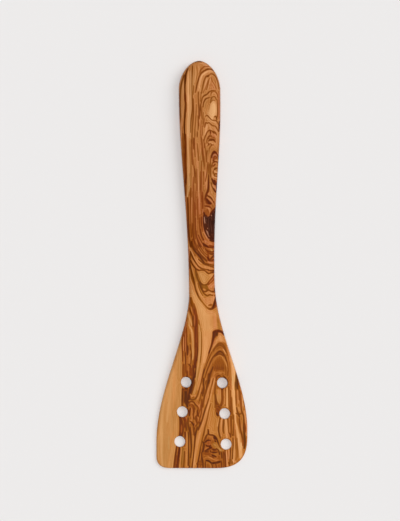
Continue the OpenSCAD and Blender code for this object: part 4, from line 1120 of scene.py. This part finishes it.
# fine seams along the left of the grip
gripSeam = [
    (44, 72, [(-145, 2512, 2), (-144, 2462, 4), (-141, 2407, 8), (-138, 2344, 10), (-136, 2281, 9),
     (-133, 2217, 8), (-131, 2163, 6)]),
    (25, 80, [(-121, 2453, 10), (-121, 2407, 13), (-121, 2362, 15), (-121, 2317, 15), (-122, 2272, 15),
     (-121, 2226, 15), (-119, 2181, 14), (-117, 2136, 13)]),
    (18, 90, [(-119, 2362, 4), (-120, 2308, 6), (-121, 2253, 6), (-121, 2199, 6)]),
    (76, 48, [(-102, 2435, 10), (-101, 2353, 13), (-99, 2308, 13), (-97, 2262, 13), (-95, 2217, 12),
     (-93, 2172, 10)]),
    (50, 45, [(-91, 2407, 5), (-89, 2362, 7), (-88, 2317, 8), (-85, 2272, 8), (-82, 2226, 7)]),
    (38, 62, [(-79, 2417, 5), (-75, 2371, 8), (-73, 2326, 8), (-72, 2281, 8), (-69, 2235, 7)]),
    (58, 72, [(-66, 2407, 5), (-64, 2362, 7), (-63, 2317, 7), (-60, 2272, 6)]),
    (36, 70, [(-57, 2426, 4), (-54, 2380, 5), (-52, 2335, 5), (-49, 2290, 5)]),
    (60, 80, [(-45, 2398, 5), (-43, 2353, 7), (-41, 2308, 6)]),
    (38, 78, [(-34, 2389, 4), (-30, 2344, 5), (-25, 2299, 5), (-24, 2262, 4)]),
    (58, 82, [(-22, 2398, 5), (-18, 2353, 6), (-14, 2308, 6)]),
    (36, 80, [(-10, 2389, 4), (4, 2308, 6), (8, 2272, 5)]),
    (60, 85, [(8, 2385, 4), (15, 2344, 6), (20, 2299, 6)]),
    (38, 75, [(22, 2389, 4), (31, 2308, 5), (33, 2272, 4)]),
    (42, 90, [(49, 2861, 3), (22, 2788, 4), (8, 2761, 3)]),
    (44, 92, [(67, 2879, 3), (77, 2851, 4), (94, 2824, 4), (108, 2793, 3)]),
    (66, 90, [(59, 2861, 4), (67, 2838, 6), (76, 2806, 5)]),
    (46, 90, [(49, 2815, 3), (67, 2824, 4), (85, 2806, 4), (96, 2788, 3)]),
    (40, 85, [(-10, 2929, 3), (8, 2947, 4), (31, 2958, 4), (53, 2958, 3)]),
    (42, 85, [(-19, 2906, 3), (-5, 2935, 4), (17, 2956, 4)]),
]

# wavy rings under the eye
headFoot = [
    (26, 80, [(-21, 2629, 4), (-19, 2608, 6), (-18, 2585, 5)]),
    (62, 70, [(-13, 2629, 4), (-12, 2606, 6), (-11, 2582, 5)]),
    (34, 75, [(-25, 2550, 4), (-24, 2535, 7), (-23, 2516, 4)]),
    (62, 75, [(-16, 2571, 4), (-13, 2516, 6), (-12, 2487, 5)]),
    (36, 70, [(19, 2577, 3), (13, 2535, 5), (11, 2514, 4)]),
    (62, 70, [(25, 2577, 3), (17, 2532, 5), (15, 2508, 4)]),
    (36, 70, [(29, 2540, 4), (25, 2524, 6), (21, 2506, 4)]),
    (38, 70, [(4, 2519, 3), (4, 2471, 5), (3, 2448, 4)]),
    (60, 75, [(-3, 2524, 3), (-2, 2495, 6), (-5, 2440, 5)]),
    (38, 65, [(-33, 2477, 5), (-33, 2456, 8), (-34, 2435, 5)]),
    (36, 75, [(-9, 2461, 3), (0, 2414, 6), (6, 2361, 6), (8, 2335, 6)]),
    (60, 80, [(-16, 2435, 4), (-8, 2382, 6), (-5, 2332, 5)]),
    (34, 75, [(-61, 2429, 4), (-62, 2403, 8), (-61, 2377, 10), (-60, 2350, 9)]),
    (62, 80, [(-47, 2440, 4), (-49, 2414, 6), (-46, 2361, 6)]),
    (38, 75, [(11, 2419, 4), (16, 2400, 6), (19, 2379, 6), (19, 2358, 5)]),
    (34, 70, [(37, 2415, 4), (47, 2432, 7), (59, 2446, 7)]),
    (36, 95, [(60, 2444, 4), (76, 2436, 7), (97, 2438, 5)]),
    (56, 100, [(71, 2466, 6), (81, 2453, 13), (95, 2447, 11)]),
    (62, 70, [(55, 2422, 4), (68, 2430, 6), (84, 2429, 6), (99, 2426, 4)]),
    (26, 65, [(50, 2408, 5), (63, 2419, 10), (79, 2420, 13), (92, 2414, 12), (100, 2400, 6)]),
    (28, 65, [(45, 2398, 4), (48, 2387, 7), (51, 2377, 4)]),
    (66, 60, [(55, 2390, 4), (68, 2398, 7), (84, 2395, 8), (100, 2385, 5)]),
    (38, 60, [(54, 2350, 4), (63, 2366, 6), (75, 2380, 7), (87, 2379, 5)]),
    (62, 55, [(60, 2340, 5), (71, 2358, 7), (84, 2369, 9), (97, 2364, 6)]),
]

# nested lines of the neck
neckStrokes = [
    (54, 130, [(-99, 1620, 10), (-96, 1540, 15), (-97, 1460, 13), (-96, 1390, 8)]),
    (34, 57, [(-84, 1586, 7), (-88, 1530, 10), (-88, 1470, 9)]),
    (21, 57, [(-76, 1666, 8), (-66, 1624, 12), (-50, 1596, 12), (-12, 1554, 14), (2, 1532, 12),
     (18, 1512, 9)]),
    (29, 61, [(-46, 1616, 5), (-24, 1592, 8), (-4, 1566, 9), (16, 1544, 14), (36, 1524, 9)]),
    (33, 61, [(-30, 1640, 5), (-14, 1606, 5), (8, 1578, 5), (46, 1540, 5)]),
    (35, 61, [(-12, 1636, 4), (4, 1604, 5), (24, 1582, 5), (46, 1566, 5)]),
    (62, 70, [(-26, 1616, 5), (-8, 1586, 6), (12, 1564, 6), (34, 1546, 5)]),
    (60, 66, [(0, 1624, 6), (18, 1596, 7), (42, 1576, 7), (66, 1568, 6)]),
    (24, 66, [(40, 1588, 6), (64, 1576, 9), (86, 1578, 9)]),
    (57, 29, [(66, 1616, 10), (72, 1600, 14), (84, 1594, 10)]),
    (43, 105, [(42, 1596, 8), (48, 1570, 11), (49, 1540, 9)]),
    (14, 100, [(44, 1552, 10), (52, 1534, 16), (60, 1526, 10)]),
    (20, 66, [(62, 1536, 7), (74, 1550, 8), (90, 1564, 9)]),
    (32, 90, [(70, 1526, 12), (86, 1532, 16)]),
    (64, 110, [(46, 1518, 9), (64, 1512, 12), (84, 1514, 9)]),
    (74, 66, [(-90, 1624, 10), (-80, 1600, 11), (-66, 1574, 9), (-54, 1546, 10), (-40, 1520, 13),
     (-20, 1498, 12), (6, 1486, 12), (30, 1479, 12), (56, 1474, 9)]),
    (72, 66, [(-44, 1554, 10), (-24, 1524, 12), (-4, 1506, 9)]),
    (22, 53, [(-26, 1536, 4), (4, 1512, 7), (26, 1498, 8), (46, 1494, 8), (62, 1486, 6), (86, 1480, 8)]),
    (28, 57, [(24, 1508, 5), (70, 1496, 7), (88, 1494, 7)]),
    (24, 49, [(-84, 1594, 6), (-74, 1566, 8), (-60, 1536, 9), (-30, 1490, 8), (-14, 1476, 8), (6, 1466, 7),
     (50, 1460, 6)]),
    (70, 66, [(-66, 1528, 6), (-54, 1506, 9), (-38, 1484, 9), (-18, 1466, 6)]),
    (20, 49, [(-82, 1526, 8), (-70, 1500, 9), (-54, 1478, 9), (-38, 1462, 10), (-18, 1454, 9), (2, 1457, 7),
     (22, 1453, 7), (38, 1439, 8), (52, 1431, 9), (70, 1439, 9), (88, 1442, 11)]),
    (18, 57, [(46, 1456, 5), (66, 1454, 9), (88, 1454, 11)]),
    (68, 66, [(32, 1470, 6), (60, 1468, 8), (84, 1469, 7)]),
    (70, 45, [(-74, 1480, 7), (-66, 1444, 10), (-59, 1410, 10)]),
    (69, 41, [(-36, 1448), (-18, 1450), (6, 1449), (24, 1443), (42, 1429), (62, 1428), (86, 1432),
     (90, 1420), (76, 1402), (58, 1384), (44, 1366), (28, 1354), (9, 1356), (-7, 1370), (-28, 1422)], 3),
    (75, 37, [(-12, 1430, 16), (4, 1404, 24), (18, 1376, 20)]),
    (76, 61, [(60, 1416, 12), (76, 1416, 10)]),
    (30, 34, [(-46, 1460, 9), (-38, 1426, 18), (-28, 1394, 20), (-6, 1344, 14), (2, 1318, 10)]),
    (50, 37, [(-29, 1418, 4), (-22, 1392, 6), (-12, 1368, 4)]),
    (22, 41, [(-14, 1372, 6), (-2, 1356, 9), (12, 1348, 9), (32, 1350, 8), (44, 1356, 6)]),
    (42, 25, [(12, 1336, 22), (32, 1332, 26), (40, 1316, 16)]),
    (24, 90, [(44, 1360, 7), (68, 1390, 9), (80, 1404, 8), (89, 1420, 8)]),
    (30, 100, [(48, 1350, 7), (78, 1378, 8), (90, 1392, 9)]),
    (70, 100, [(56, 1366, 4), (68, 1378, 5), (82, 1392, 5)]),
    (68, 100, [(56, 1336, 18), (74, 1340, 26), (88, 1348, 22)]),
    (24, 49, [(-20, 1362, 7), (-10, 1332, 9), (2, 1310, 10), (16, 1298, 10), (32, 1300, 9), (48, 1311, 8),
     (60, 1306, 7), (74, 1299, 10), (94, 1300, 13)]),
    (70, 57, [(20, 1287, 7), (44, 1292, 10), (76, 1285, 9)]),
    (28, 57, [(92, 1326, 6), (94, 1306, 10)]),
    (30, 49, [(0, 1310, 5), (14, 1286, 8), (30, 1274, 8), (42, 1268, 9), (58, 1276, 8), (74, 1272, 7),
     (96, 1270, 8)]),
    (74, 64, [(-38, 1368, 7), (-30, 1332, 12), (-18, 1296, 13), (0, 1264, 14), (18, 1238, 10)]),
    (40, 45, [(-30, 1362, 4), (-22, 1328, 5), (-8, 1294, 5), (8, 1268, 4)]),
    (70, 70, [(24, 1254), (50, 1260), (84, 1262), (98, 1250), (86, 1214), (72, 1188), (52, 1184),
     (36, 1196), (14, 1228)], 5),
    (80, 90, [(88, 1272, 6), (86, 1250, 9), (84, 1230, 5)]),
    (40, 66, [(52, 1198, 9), (68, 1202, 14)]),
    (20, 51, [(-89, 1506, 7), (-80, 1464, 9), (-62, 1392, 10), (-48, 1322, 10), (-36, 1288, 10),
     (-20, 1254, 11), (-4, 1228, 12), (28, 1186, 14)]),
    (8, 66, [(12, 1206, 7), (34, 1182, 12), (50, 1173, 14), (66, 1170, 13), (80, 1179, 16), (89, 1198, 15),
     (96, 1224, 14), (102, 1254, 8)]),
    (34, 90, [(92, 1182, 10), (104, 1196, 14), (108, 1224, 10)]),
    (30, 53, [(-83, 1460, 6), (-76, 1416, 8), (-71, 1384, 12), (-62, 1362, 12), (-54, 1344, 8)]),
    (74, 66, [(-86, 1402, 9), (-79, 1364, 22), (-69, 1324, 30), (-59, 1290, 26)]),
    (82, 37, [(-70, 1304, 16), (-54, 1264, 34), (-34, 1224, 46), (-10, 1186, 64), (14, 1144, 84),
     (30, 1096, 90), (40, 1044, 70)]),
    (76, 61, [(40, 1156, 16), (68, 1144, 26), (94, 1132, 24), (114, 1122, 14)]),
    (62, 29, [(104, 1166, 8), (109, 1136, 12), (119, 1106, 10)]),
]

# dark knot on the right edge
knotMark = [
    (20, 100, [(-3, 1842, 4), (-2, 1816, 7), (0, 1789, 7), (9, 1742, 5)]),
    (64, 90, [(6, 1832, 3), (6, 1805, 5), (12, 1753, 7), (18, 1729, 7), (39, 1689, 5)]),
    (60, 70, [(26, 1929, 4), (39, 1918, 9), (55, 1905, 12), (60, 1887, 9)]),
    (14, 100, [(24, 1927, 4), (37, 1926, 8), (53, 1924, 7), (60, 1917, 4)]),
    (44, 75, [(24, 1895, 10), (37, 1882, 16), (45, 1868, 12)]),
    (60, 75, [(55, 1897, 5), (60, 1884, 8), (55, 1871, 7)]),
    (22, 190, [(124, 1932), (87, 1900), (66, 1872), (56, 1859), (45, 1852), (31, 1855), (20, 1862),
     (14, 1850), (11, 1826), (11, 1805), (18, 1760), (24, 1739), (34, 1716), (58, 1680), (74, 1670),
     (124, 1665)], 4),
    (6, 120, [(14, 1883, 5), (17, 1872, 10), (26, 1861, 10), (38, 1855, 7)]),
    (10, 115, [(101, 1917, 10), (72, 1884, 12), (62, 1868, 9)]),
    (7, 120, [(13, 1860, 5), (11, 1829, 7), (13, 1797, 9), (17, 1768, 9), (24, 1745, 9), (47, 1697, 8),
     (60, 1679, 9), (81, 1671, 9)]),
    (60, 180, [(17, 1850, 4), (19, 1834, 9), (21, 1813, 10), (24, 1797, 5)]),
    (10, 130, [(29, 1792, 13), (31, 1768, 14), (36, 1750, 9)]),
    (60, 180, [(31, 1753, 5), (39, 1739, 12), (46, 1721, 11), (53, 1703, 5)]),
    (74, 160, [(39, 1768, 3), (42, 1764, 6), (44, 1761, 3)]),
    (66, 170, [(68, 1864, 3), (71, 1859, 5), (74, 1856, 3)]),
    (34, 200, [(61, 1832, 12), (65, 1795, 21), (71, 1763, 23), (74, 1737, 17)]),
    (32, 200, [(84, 1871, 9), (87, 1845, 13), (87, 1824, 9)]),
    (10, 180, [(76, 1815, 5), (87, 1814, 7), (100, 1816, 6)]),
    (12, 180, [(76, 1802, 5), (87, 1802, 7), (100, 1803, 6)]),
    (38, 200, [(87, 1787, 11), (90, 1763, 16), (88, 1737, 13)]),
    (7, 150, [(55, 1742, 6), (58, 1721, 11), (66, 1700, 17), (77, 1683, 21), (97, 1680, 19)]),
    (12, 20, [(59, 1677, 5), (76, 1670, 8), (97, 1667, 7)]),
    (70, 120, [(21, 1729, 3), (31, 1709, 5), (52, 1680, 4)]),
    (62, 150, [(49, 1711, 3), (56, 1706, 5), (61, 1700, 3)]),
    (62, 150, [(45, 1690, 3), (53, 1686, 5), (59, 1681, 3)]),
    (58, 110, [(16, 1675, 6), (28, 1668, 17), (42, 1662, 14)]),
    (9, 95, [(13, 1655, 5), (20, 1642, 13), (31, 1634, 14), (47, 1627, 8), (63, 1623, 5)]),
    (50, 100, [(45, 1660), (60, 1665), (113, 1660), (113, 1626), (71, 1625), (50, 1633), (40, 1645)], 5),
    (68, 95, [(52, 1658, 4), (63, 1654, 8), (74, 1649, 5)]),
    (32, 105, [(54, 1639, 6), (67, 1634, 11), (84, 1632, 10), (97, 1633, 8)]),
    (62, 95, [(29, 1624, 4), (45, 1615, 7), (60, 1613, 7), (76, 1615, 5)]),
    (66, 35, [(66, 1608, 8), (74, 1605, 12), (81, 1603, 8)]),
    (22, 95, [(24, 1612, 4), (37, 1600, 6), (55, 1592, 7), (76, 1592, 6), (92, 1595, 5)]),
]

# later strokes lie over earlier ones
allStrokes = [
    *ground, *bladeTop, *archFigure, *sapwood, *leftTop, *bladeMiddle, *swirlStrokes, *bladeFoot,
    *burlStrokes, *rightStripes, *rightFine, *gripMiddle, *gripFoot, *gripRings, *ringStack, *gripHead,
    *gripSeam, *headFoot, *neckStrokes, *knotMark,
]

# Through the wood: how the figure of the front runs on round the sides and out at the back
depth = {
    "from": 0.3,  # the front's figure holds down to this far above half the thickness
    "gather": 0.55,  # how far the figure of an edge moves in for each millimetre of depth
    "leastHalf": 4.0,
    "swing": (0.2, 46.0),  # sideways for each millimetre of depth, and length of one swing
    "drop": (1.1, 71.0),  # and along
}

# The strokes were read off a picture taken a little from the left and from the working edge,
# so each point of the body takes the figure of the place where it shows in that picture.
reading = {
    "middle": 150.0,
    "across": -0.42,
    "acrossHeight": 0.105,  # shift for each millimetre of height
    "acrossAlong": -0.003,  # and for each millimetre along
    "along": 0.46,
    "alongHeight": 0.084,
    "alongBow": -0.000034,  # both ends show a little nearer to the working edge
}


# place on the front face whose figure shows at each point of the body
def figurePlaces(points):
    x, s, z = points[:, 0], points[:, 1] + body["length"] / 2, points[:, 2]
    left, right = np.array([edges(v) for v in s]).T
    middle = np.array([boardThickness(v) for v in s]) / 2
    deep = np.clip(middle + depth["from"] - z, 0, None)
    half = np.clip((right - left) / 2, depth["leastHalf"], None)
    centre = (right + left) / 2
    across = centre + (x - centre) * (1 - depth["gather"] * deep / half)
    swing, swingEvery = depth["swing"]
    drop, dropEvery = depth["drop"]
    across += swing * np.sin(math.tau * s / swingEvery) * deep
    along = s + drop * np.sin(math.tau * s / dropEvery) * deep
    away = s - reading["middle"]
    across += reading["across"] + reading["acrossHeight"] * z + reading["acrossAlong"] * away
    along += reading["along"] + reading["alongHeight"] * z + reading["alongBow"] * away ** 2
    return across, along


def paintWood(piece):
    points = np.empty(len(piece.data.vertices) * 3)
    piece.data.vertices.foreach_get("co", points)
    across, along = figurePlaces(points.reshape(-1, 3) / mm)
    for name, values in zip(("tone", "warmth", "line"), paint(across, along, allStrokes)):
        layer = piece.data.attributes.new(name, "FLOAT", "POINT")
        layer.data.foreach_set("value", values.astype(np.float32))


paintWood(spatula)
print("figure painted:", len(allStrokes), "strokes")

# Wood: colours as seen on a screen, 0 to 255, from the darkest line of the figure to the palest
wood = {
    "olive": ((66, 30, 0), (100, 54, 0), (136, 84, 14), (173, 121, 60), (201, 150, 92), (227, 181, 120)),
    "amber": ((74, 25, 0), (114, 53, 0), (148, 80, 4), (182, 110, 38), (210, 142, 80), (234, 170, 108)),
    "russet": ((88, 27, 0), (124, 49, 0), (156, 75, 14), (186, 104, 50), (212, 136, 84), (234, 166, 114)),
    "knot": ((20, 0, 0), (52, 14, 4), (92, 46, 34), (146, 100, 78), (190, 142, 116), (214, 176, 150)),
    "hueAt": {"olive": 0, "amber": 0.5, "russet": 1, "knot": 2},  # warmth at which each is full
    "streak": (1.2, 34.0, 0.12),  # width and length of a streak in millimetres, and its strength
    "fibre": (0.45, 9.0, 0.09),
    "pore": (0.28, 2.6, 0.1),
    "cloud": (9.0, 30.0, 0.05),
    "warmCloud": 0.2,
    "grainDepth": 0.8,  # how fine the grain is through the wood, against across it
    "pit": (0.36, 9.0),  # noise under which a pore is open, and how sharp its rim is
    "lively": (1.5, 1.1),  # streaks are strong in dark wood, and this much weaker in pale
    "line": (-0.234, 0.078, 0.13),  # from where to where a line darkens, and how much
    "lineHeart": (1.3, 0.3),  # wide lines are paler from here inwards
    "ring": (4.8, 4.5, 0.4, 0.07),  # turn for each millimetre, reach, start and strength
    "growth": (1.1, 26.0, 0.13),  # uneven rings: how many to a millimetre, how long they run, strength
    "gripped": (-0.012, 0.048, 0.16, (196, 156, 128)),  # where the grip turns duller, and how much
    "grippedTones": (0.25, 0.75),
    "roughness": (0.5, 0.09, 0.15),  # plain, swing with the fibres, and what the pores add
    "relief": (0.6, 0.6, 0.2),  # of fibres, pores and streaks
    "bump": (0.5, 0.00012),  # strength, and height in metres
    "gloss": 0.12,
    "sheen": (1.0, 0.74, 0.5),
}


class Wire:  # a socket whose sums add Math nodes
    def __init__(self, recipe, socket):
        self.recipe, self.socket = recipe, socket

    def math(self, operation, first, second):
        return self.recipe.add("ShaderNodeMath", {"operation": operation}, {0: first, 1: second})

    def __add__(self, other):
        return self.math("ADD", self, other)

    def __sub__(self, other):
        return self.math("SUBTRACT", self, other)

    def __rsub__(self, other):
        return self.math("SUBTRACT", other, self)

    def __mul__(self, other):
        return self.math("MULTIPLY", self, other)

    def cosine(self):
        return self.math("COSINE", self, 0.0)

    def ramp(self, low, high):  # 0 at low, 1 at high
        share = (self - low) * (1 / (high - low))
        return self.recipe.add("ShaderNodeClamp", {}, {"Value": share})

    def swing(self):  # noise from 0 to 1 becomes -1 to 1
        return self * 2 - 1

    __radd__, __rmul__ = __add__, __mul__


class Recipe:  # one material and the nodes in it
    def __init__(self, name):
        self.material = bpy.data.materials.new(name)
        self.material.use_nodes = True
        self.tree = self.material.node_tree
        self.shader = self.tree.nodes["Principled BSDF"]

    def feed(self, socket, value):
        if isinstance(value, Wire):
            self.tree.links.new(value.socket, socket)
        else:
            socket.default_value = value

    def finish(self, values):
        for name, value in values.items():
            self.feed(self.shader.inputs[name], value)
        return self.material

    def add(self, kind, settings, sockets, out=0):
        node = self.tree.nodes.new(kind)
        for name, value in settings.items():
            setattr(node, name, value)
        for name, value in sockets.items():
            self.feed(node.inputs[name], value)
        return Wire(self, node.outputs[out])

    def attribute(self, name):
        return self.add("ShaderNodeAttribute", {"attribute_name": name}, {}, "Fac")

    def noise(self, place, detail=2.0):
        return self.add("ShaderNodeTexNoise", {}, {"Vector": place, "Scale": 1.0, "Detail": detail})

    def grain(self, place, name, detail=2.0):
        wide, long, strength = wood[name]
        sizes = (1 / (wide * mm), 1 / (long * mm), wood["grainDepth"] / (wide * mm))
        stretched = self.add("ShaderNodeVectorMath", {"operation": "MULTIPLY"}, {0: place, 1: sizes})
        return self.noise(stretched, detail), strength

    def shades(self, tone, colours):
        wire = self.add("ShaderNodeValToRGB", {}, {"Fac": tone})
        stops = wire.socket.node.color_ramp.elements
        for i in range(1, len(colours) - 1):
            stops.new(i / (len(colours) - 1))
        for stop, colour in zip(stops, colours):
            stop.color = (*linear(colour), 1)
        return wire

    def blend(self, share, first, second):
        return self.add("ShaderNodeMix", {"data_type": "RGBA"}, {0: share, 6: first, 7: second}, 2)


def linear(colour):
    shares = [c / 255 for c in colour]
    return [((c + 0.055) / 1.055) ** 2.4 if c > 0.04045 else c / 12.92 for c in shares]


def oliveWood():
    recipe = Recipe("olive_wood")
    place = recipe.add("ShaderNodeTexCoord", {}, {}, "Object")
    height = recipe.add("ShaderNodeSeparateXYZ", {}, {"Vector": place}, "Y")
    tone, warmth, line = (recipe.attribute(name) for name in ("tone", "warmth", "line"))
    streak, streakStrength = recipe.grain(place, "streak")
    fibre, fibreStrength = recipe.grain(place, "fibre", 3.0)
    pore, poreStrength = recipe.grain(place, "pore")
    cloud, cloudStrength = recipe.grain(place, "cloud")
    openBelow, rim = wood["pit"]
    pits = pore.ramp(openBelow, openBelow - 1 / rim)
    strong, weaker = wood["lively"]
    lively = strong - tone * weaker

    # rings run beside the lines, some even and some not
    turn, reach, start, ringStrength = wood["ring"]
    ring = (line * turn).cosine() * line.ramp(-reach, 0) * line.ramp(0, -start)
    often, long, uneven = wood["growth"]
    rings = recipe.add("ShaderNodeCombineXYZ", {}, {"X": line * often, "Y": height * (1 / (long * mm))})
    growth = recipe.noise(rings)
    low, high, lineStrength = wood["line"]
    dark = line.ramp(low, high) * line.ramp(*wood["lineHeart"])
    tone = tone - ring * ringStrength - dark * lineStrength + growth.swing() * lively * uneven
    tone = tone + streak.swing() * lively * streakStrength + fibre.swing() * fibreStrength
    tone = tone + cloud.swing() * cloudStrength - pits * poreStrength
    warmth = warmth + cloud.swing() * wood["warmCloud"]

    hues = list(wood["hueAt"].items())
    colour = recipe.shades(tone, wood[hues[0][0]])
    for (_, low), (name, high) in zip(hues, hues[1:]):
        colour = recipe.blend(warmth.ramp(low, high), colour, recipe.shades(tone, wood[name]))
    low, high, share, dull = wood["gripped"]
    gripped = height.ramp(low, high) * tone.ramp(*wood["grippedTones"]) * share
    colour = recipe.blend(gripped, colour, (*linear(dull), 1))

    plain, fibrous, porous = wood["roughness"]
    roughness = plain + fibre.swing() * fibrous + pits * porous
    raised, sunk, streaked = wood["relief"]
    relief = fibre * raised - pits * sunk + streak * streaked
    strength, distance = wood["bump"]
    bump = {"Height": relief, "Strength": strength, "Distance": distance}
    normal = recipe.add("ShaderNodeBump", {}, bump)
    return recipe.finish({
        "Base Color": colour, "Roughness": roughness, "Normal": normal,
        "Specular Tint": (*wood["sheen"], 1), "Specular IOR Level": wood["gloss"]})


spatula.data.materials.clear()
spatula.data.materials.append(oliveWood())
print("wood finished")

# Stage: floor, camera and light, in metres where nothing else is said
stage = {
    "floor": 6.0,
    "paper": (0.815, 0.8, 0.795),
    "paperRoughness": 0.8,
    "sky": (0.3, 0.3, 0.3),
    "backdrop": (0.86, 0.845, 0.84),  # what the camera sees past the floor
    "lean": 84.0,  # height of the camera over the front face, in degrees
    "turn": 6.0,  # and how far it stands to the left
    "roll": 0.008,
    "distance": 2.5,
    "aim": (-0.001326, 0.002042, 0.004),
    "frameHeight": 0.38226,
    "key": (45, 1.0, (1.05, 0.3, 1.15)),  # spread in degrees, power and direction
    "fill": (16, 1.62, (-0.15, -0.2, 1.5)),
}

floorMesh = bmesh.new()
bmesh.ops.create_grid(floorMesh, x_segments=1, y_segments=1, size=stage["floor"])
floor = toObject(floorMesh, "floor")
floor.data.materials.append(Recipe("paper").finish({
    "Base Color": (*stage["paper"], 1), "Roughness": stage["paperRoughness"], "Specular IOR Level": 0}))


def stand(thing, place, turn):
    thing.location = place
    thing.rotation_mode = "QUATERNION"
    thing.rotation_quaternion = turn


def lamp(name):
    spread, power, place = stage[name]
    data = bpy.data.lights.new(name, "SUN")
    data.angle, data.energy = math.radians(spread), power
    stand(addToScene(name, data), place, Vector(place).to_track_quat("Z", "Y"))


def setCamera():
    data = bpy.data.cameras.new("camera")
    data.lens = data.sensor_width * stage["distance"] / stage["frameHeight"]
    lean, turn = math.radians(90 - stage["lean"]), math.radians(stage["turn"])
    back = Vector((-math.tan(turn), -math.tan(lean), 1)).normalized()
    level = Vector((math.cos(stage["roll"]), math.sin(stage["roll"]), 0))
    right = (level - back * level.dot(back)).normalized()
    facing = Matrix((right, back.cross(right), back)).transposed().to_quaternion()
    camera = addToScene("camera", data)
    stand(camera, Vector(stage["aim"]) + back * stage["distance"], facing)
    bpy.context.scene.camera = camera


def setWorld():
    world = bpy.data.worlds.new("world")
    bpy.context.scene.world = world
    world.use_nodes = True
    nodes, links = world.node_tree.nodes, world.node_tree.links
    seen = nodes.new("ShaderNodeLightPath")
    shade = nodes.new("ShaderNodeMix")
    shade.data_type = "RGBA"
    shade.inputs[6].default_value = (*stage["sky"], 1)
    shade.inputs[7].default_value = (*stage["backdrop"], 1)
    links.new(seen.outputs["Is Camera Ray"], shade.inputs[0])
    links.new(shade.outputs[2], nodes["Background"].inputs["Color"])


setCamera()
lamp("key")
lamp("fill")
setWorld()
bpy.context.scene.view_settings.view_transform = "Standard"
print("stage set")

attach(spatula, "root")
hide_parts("spatula")
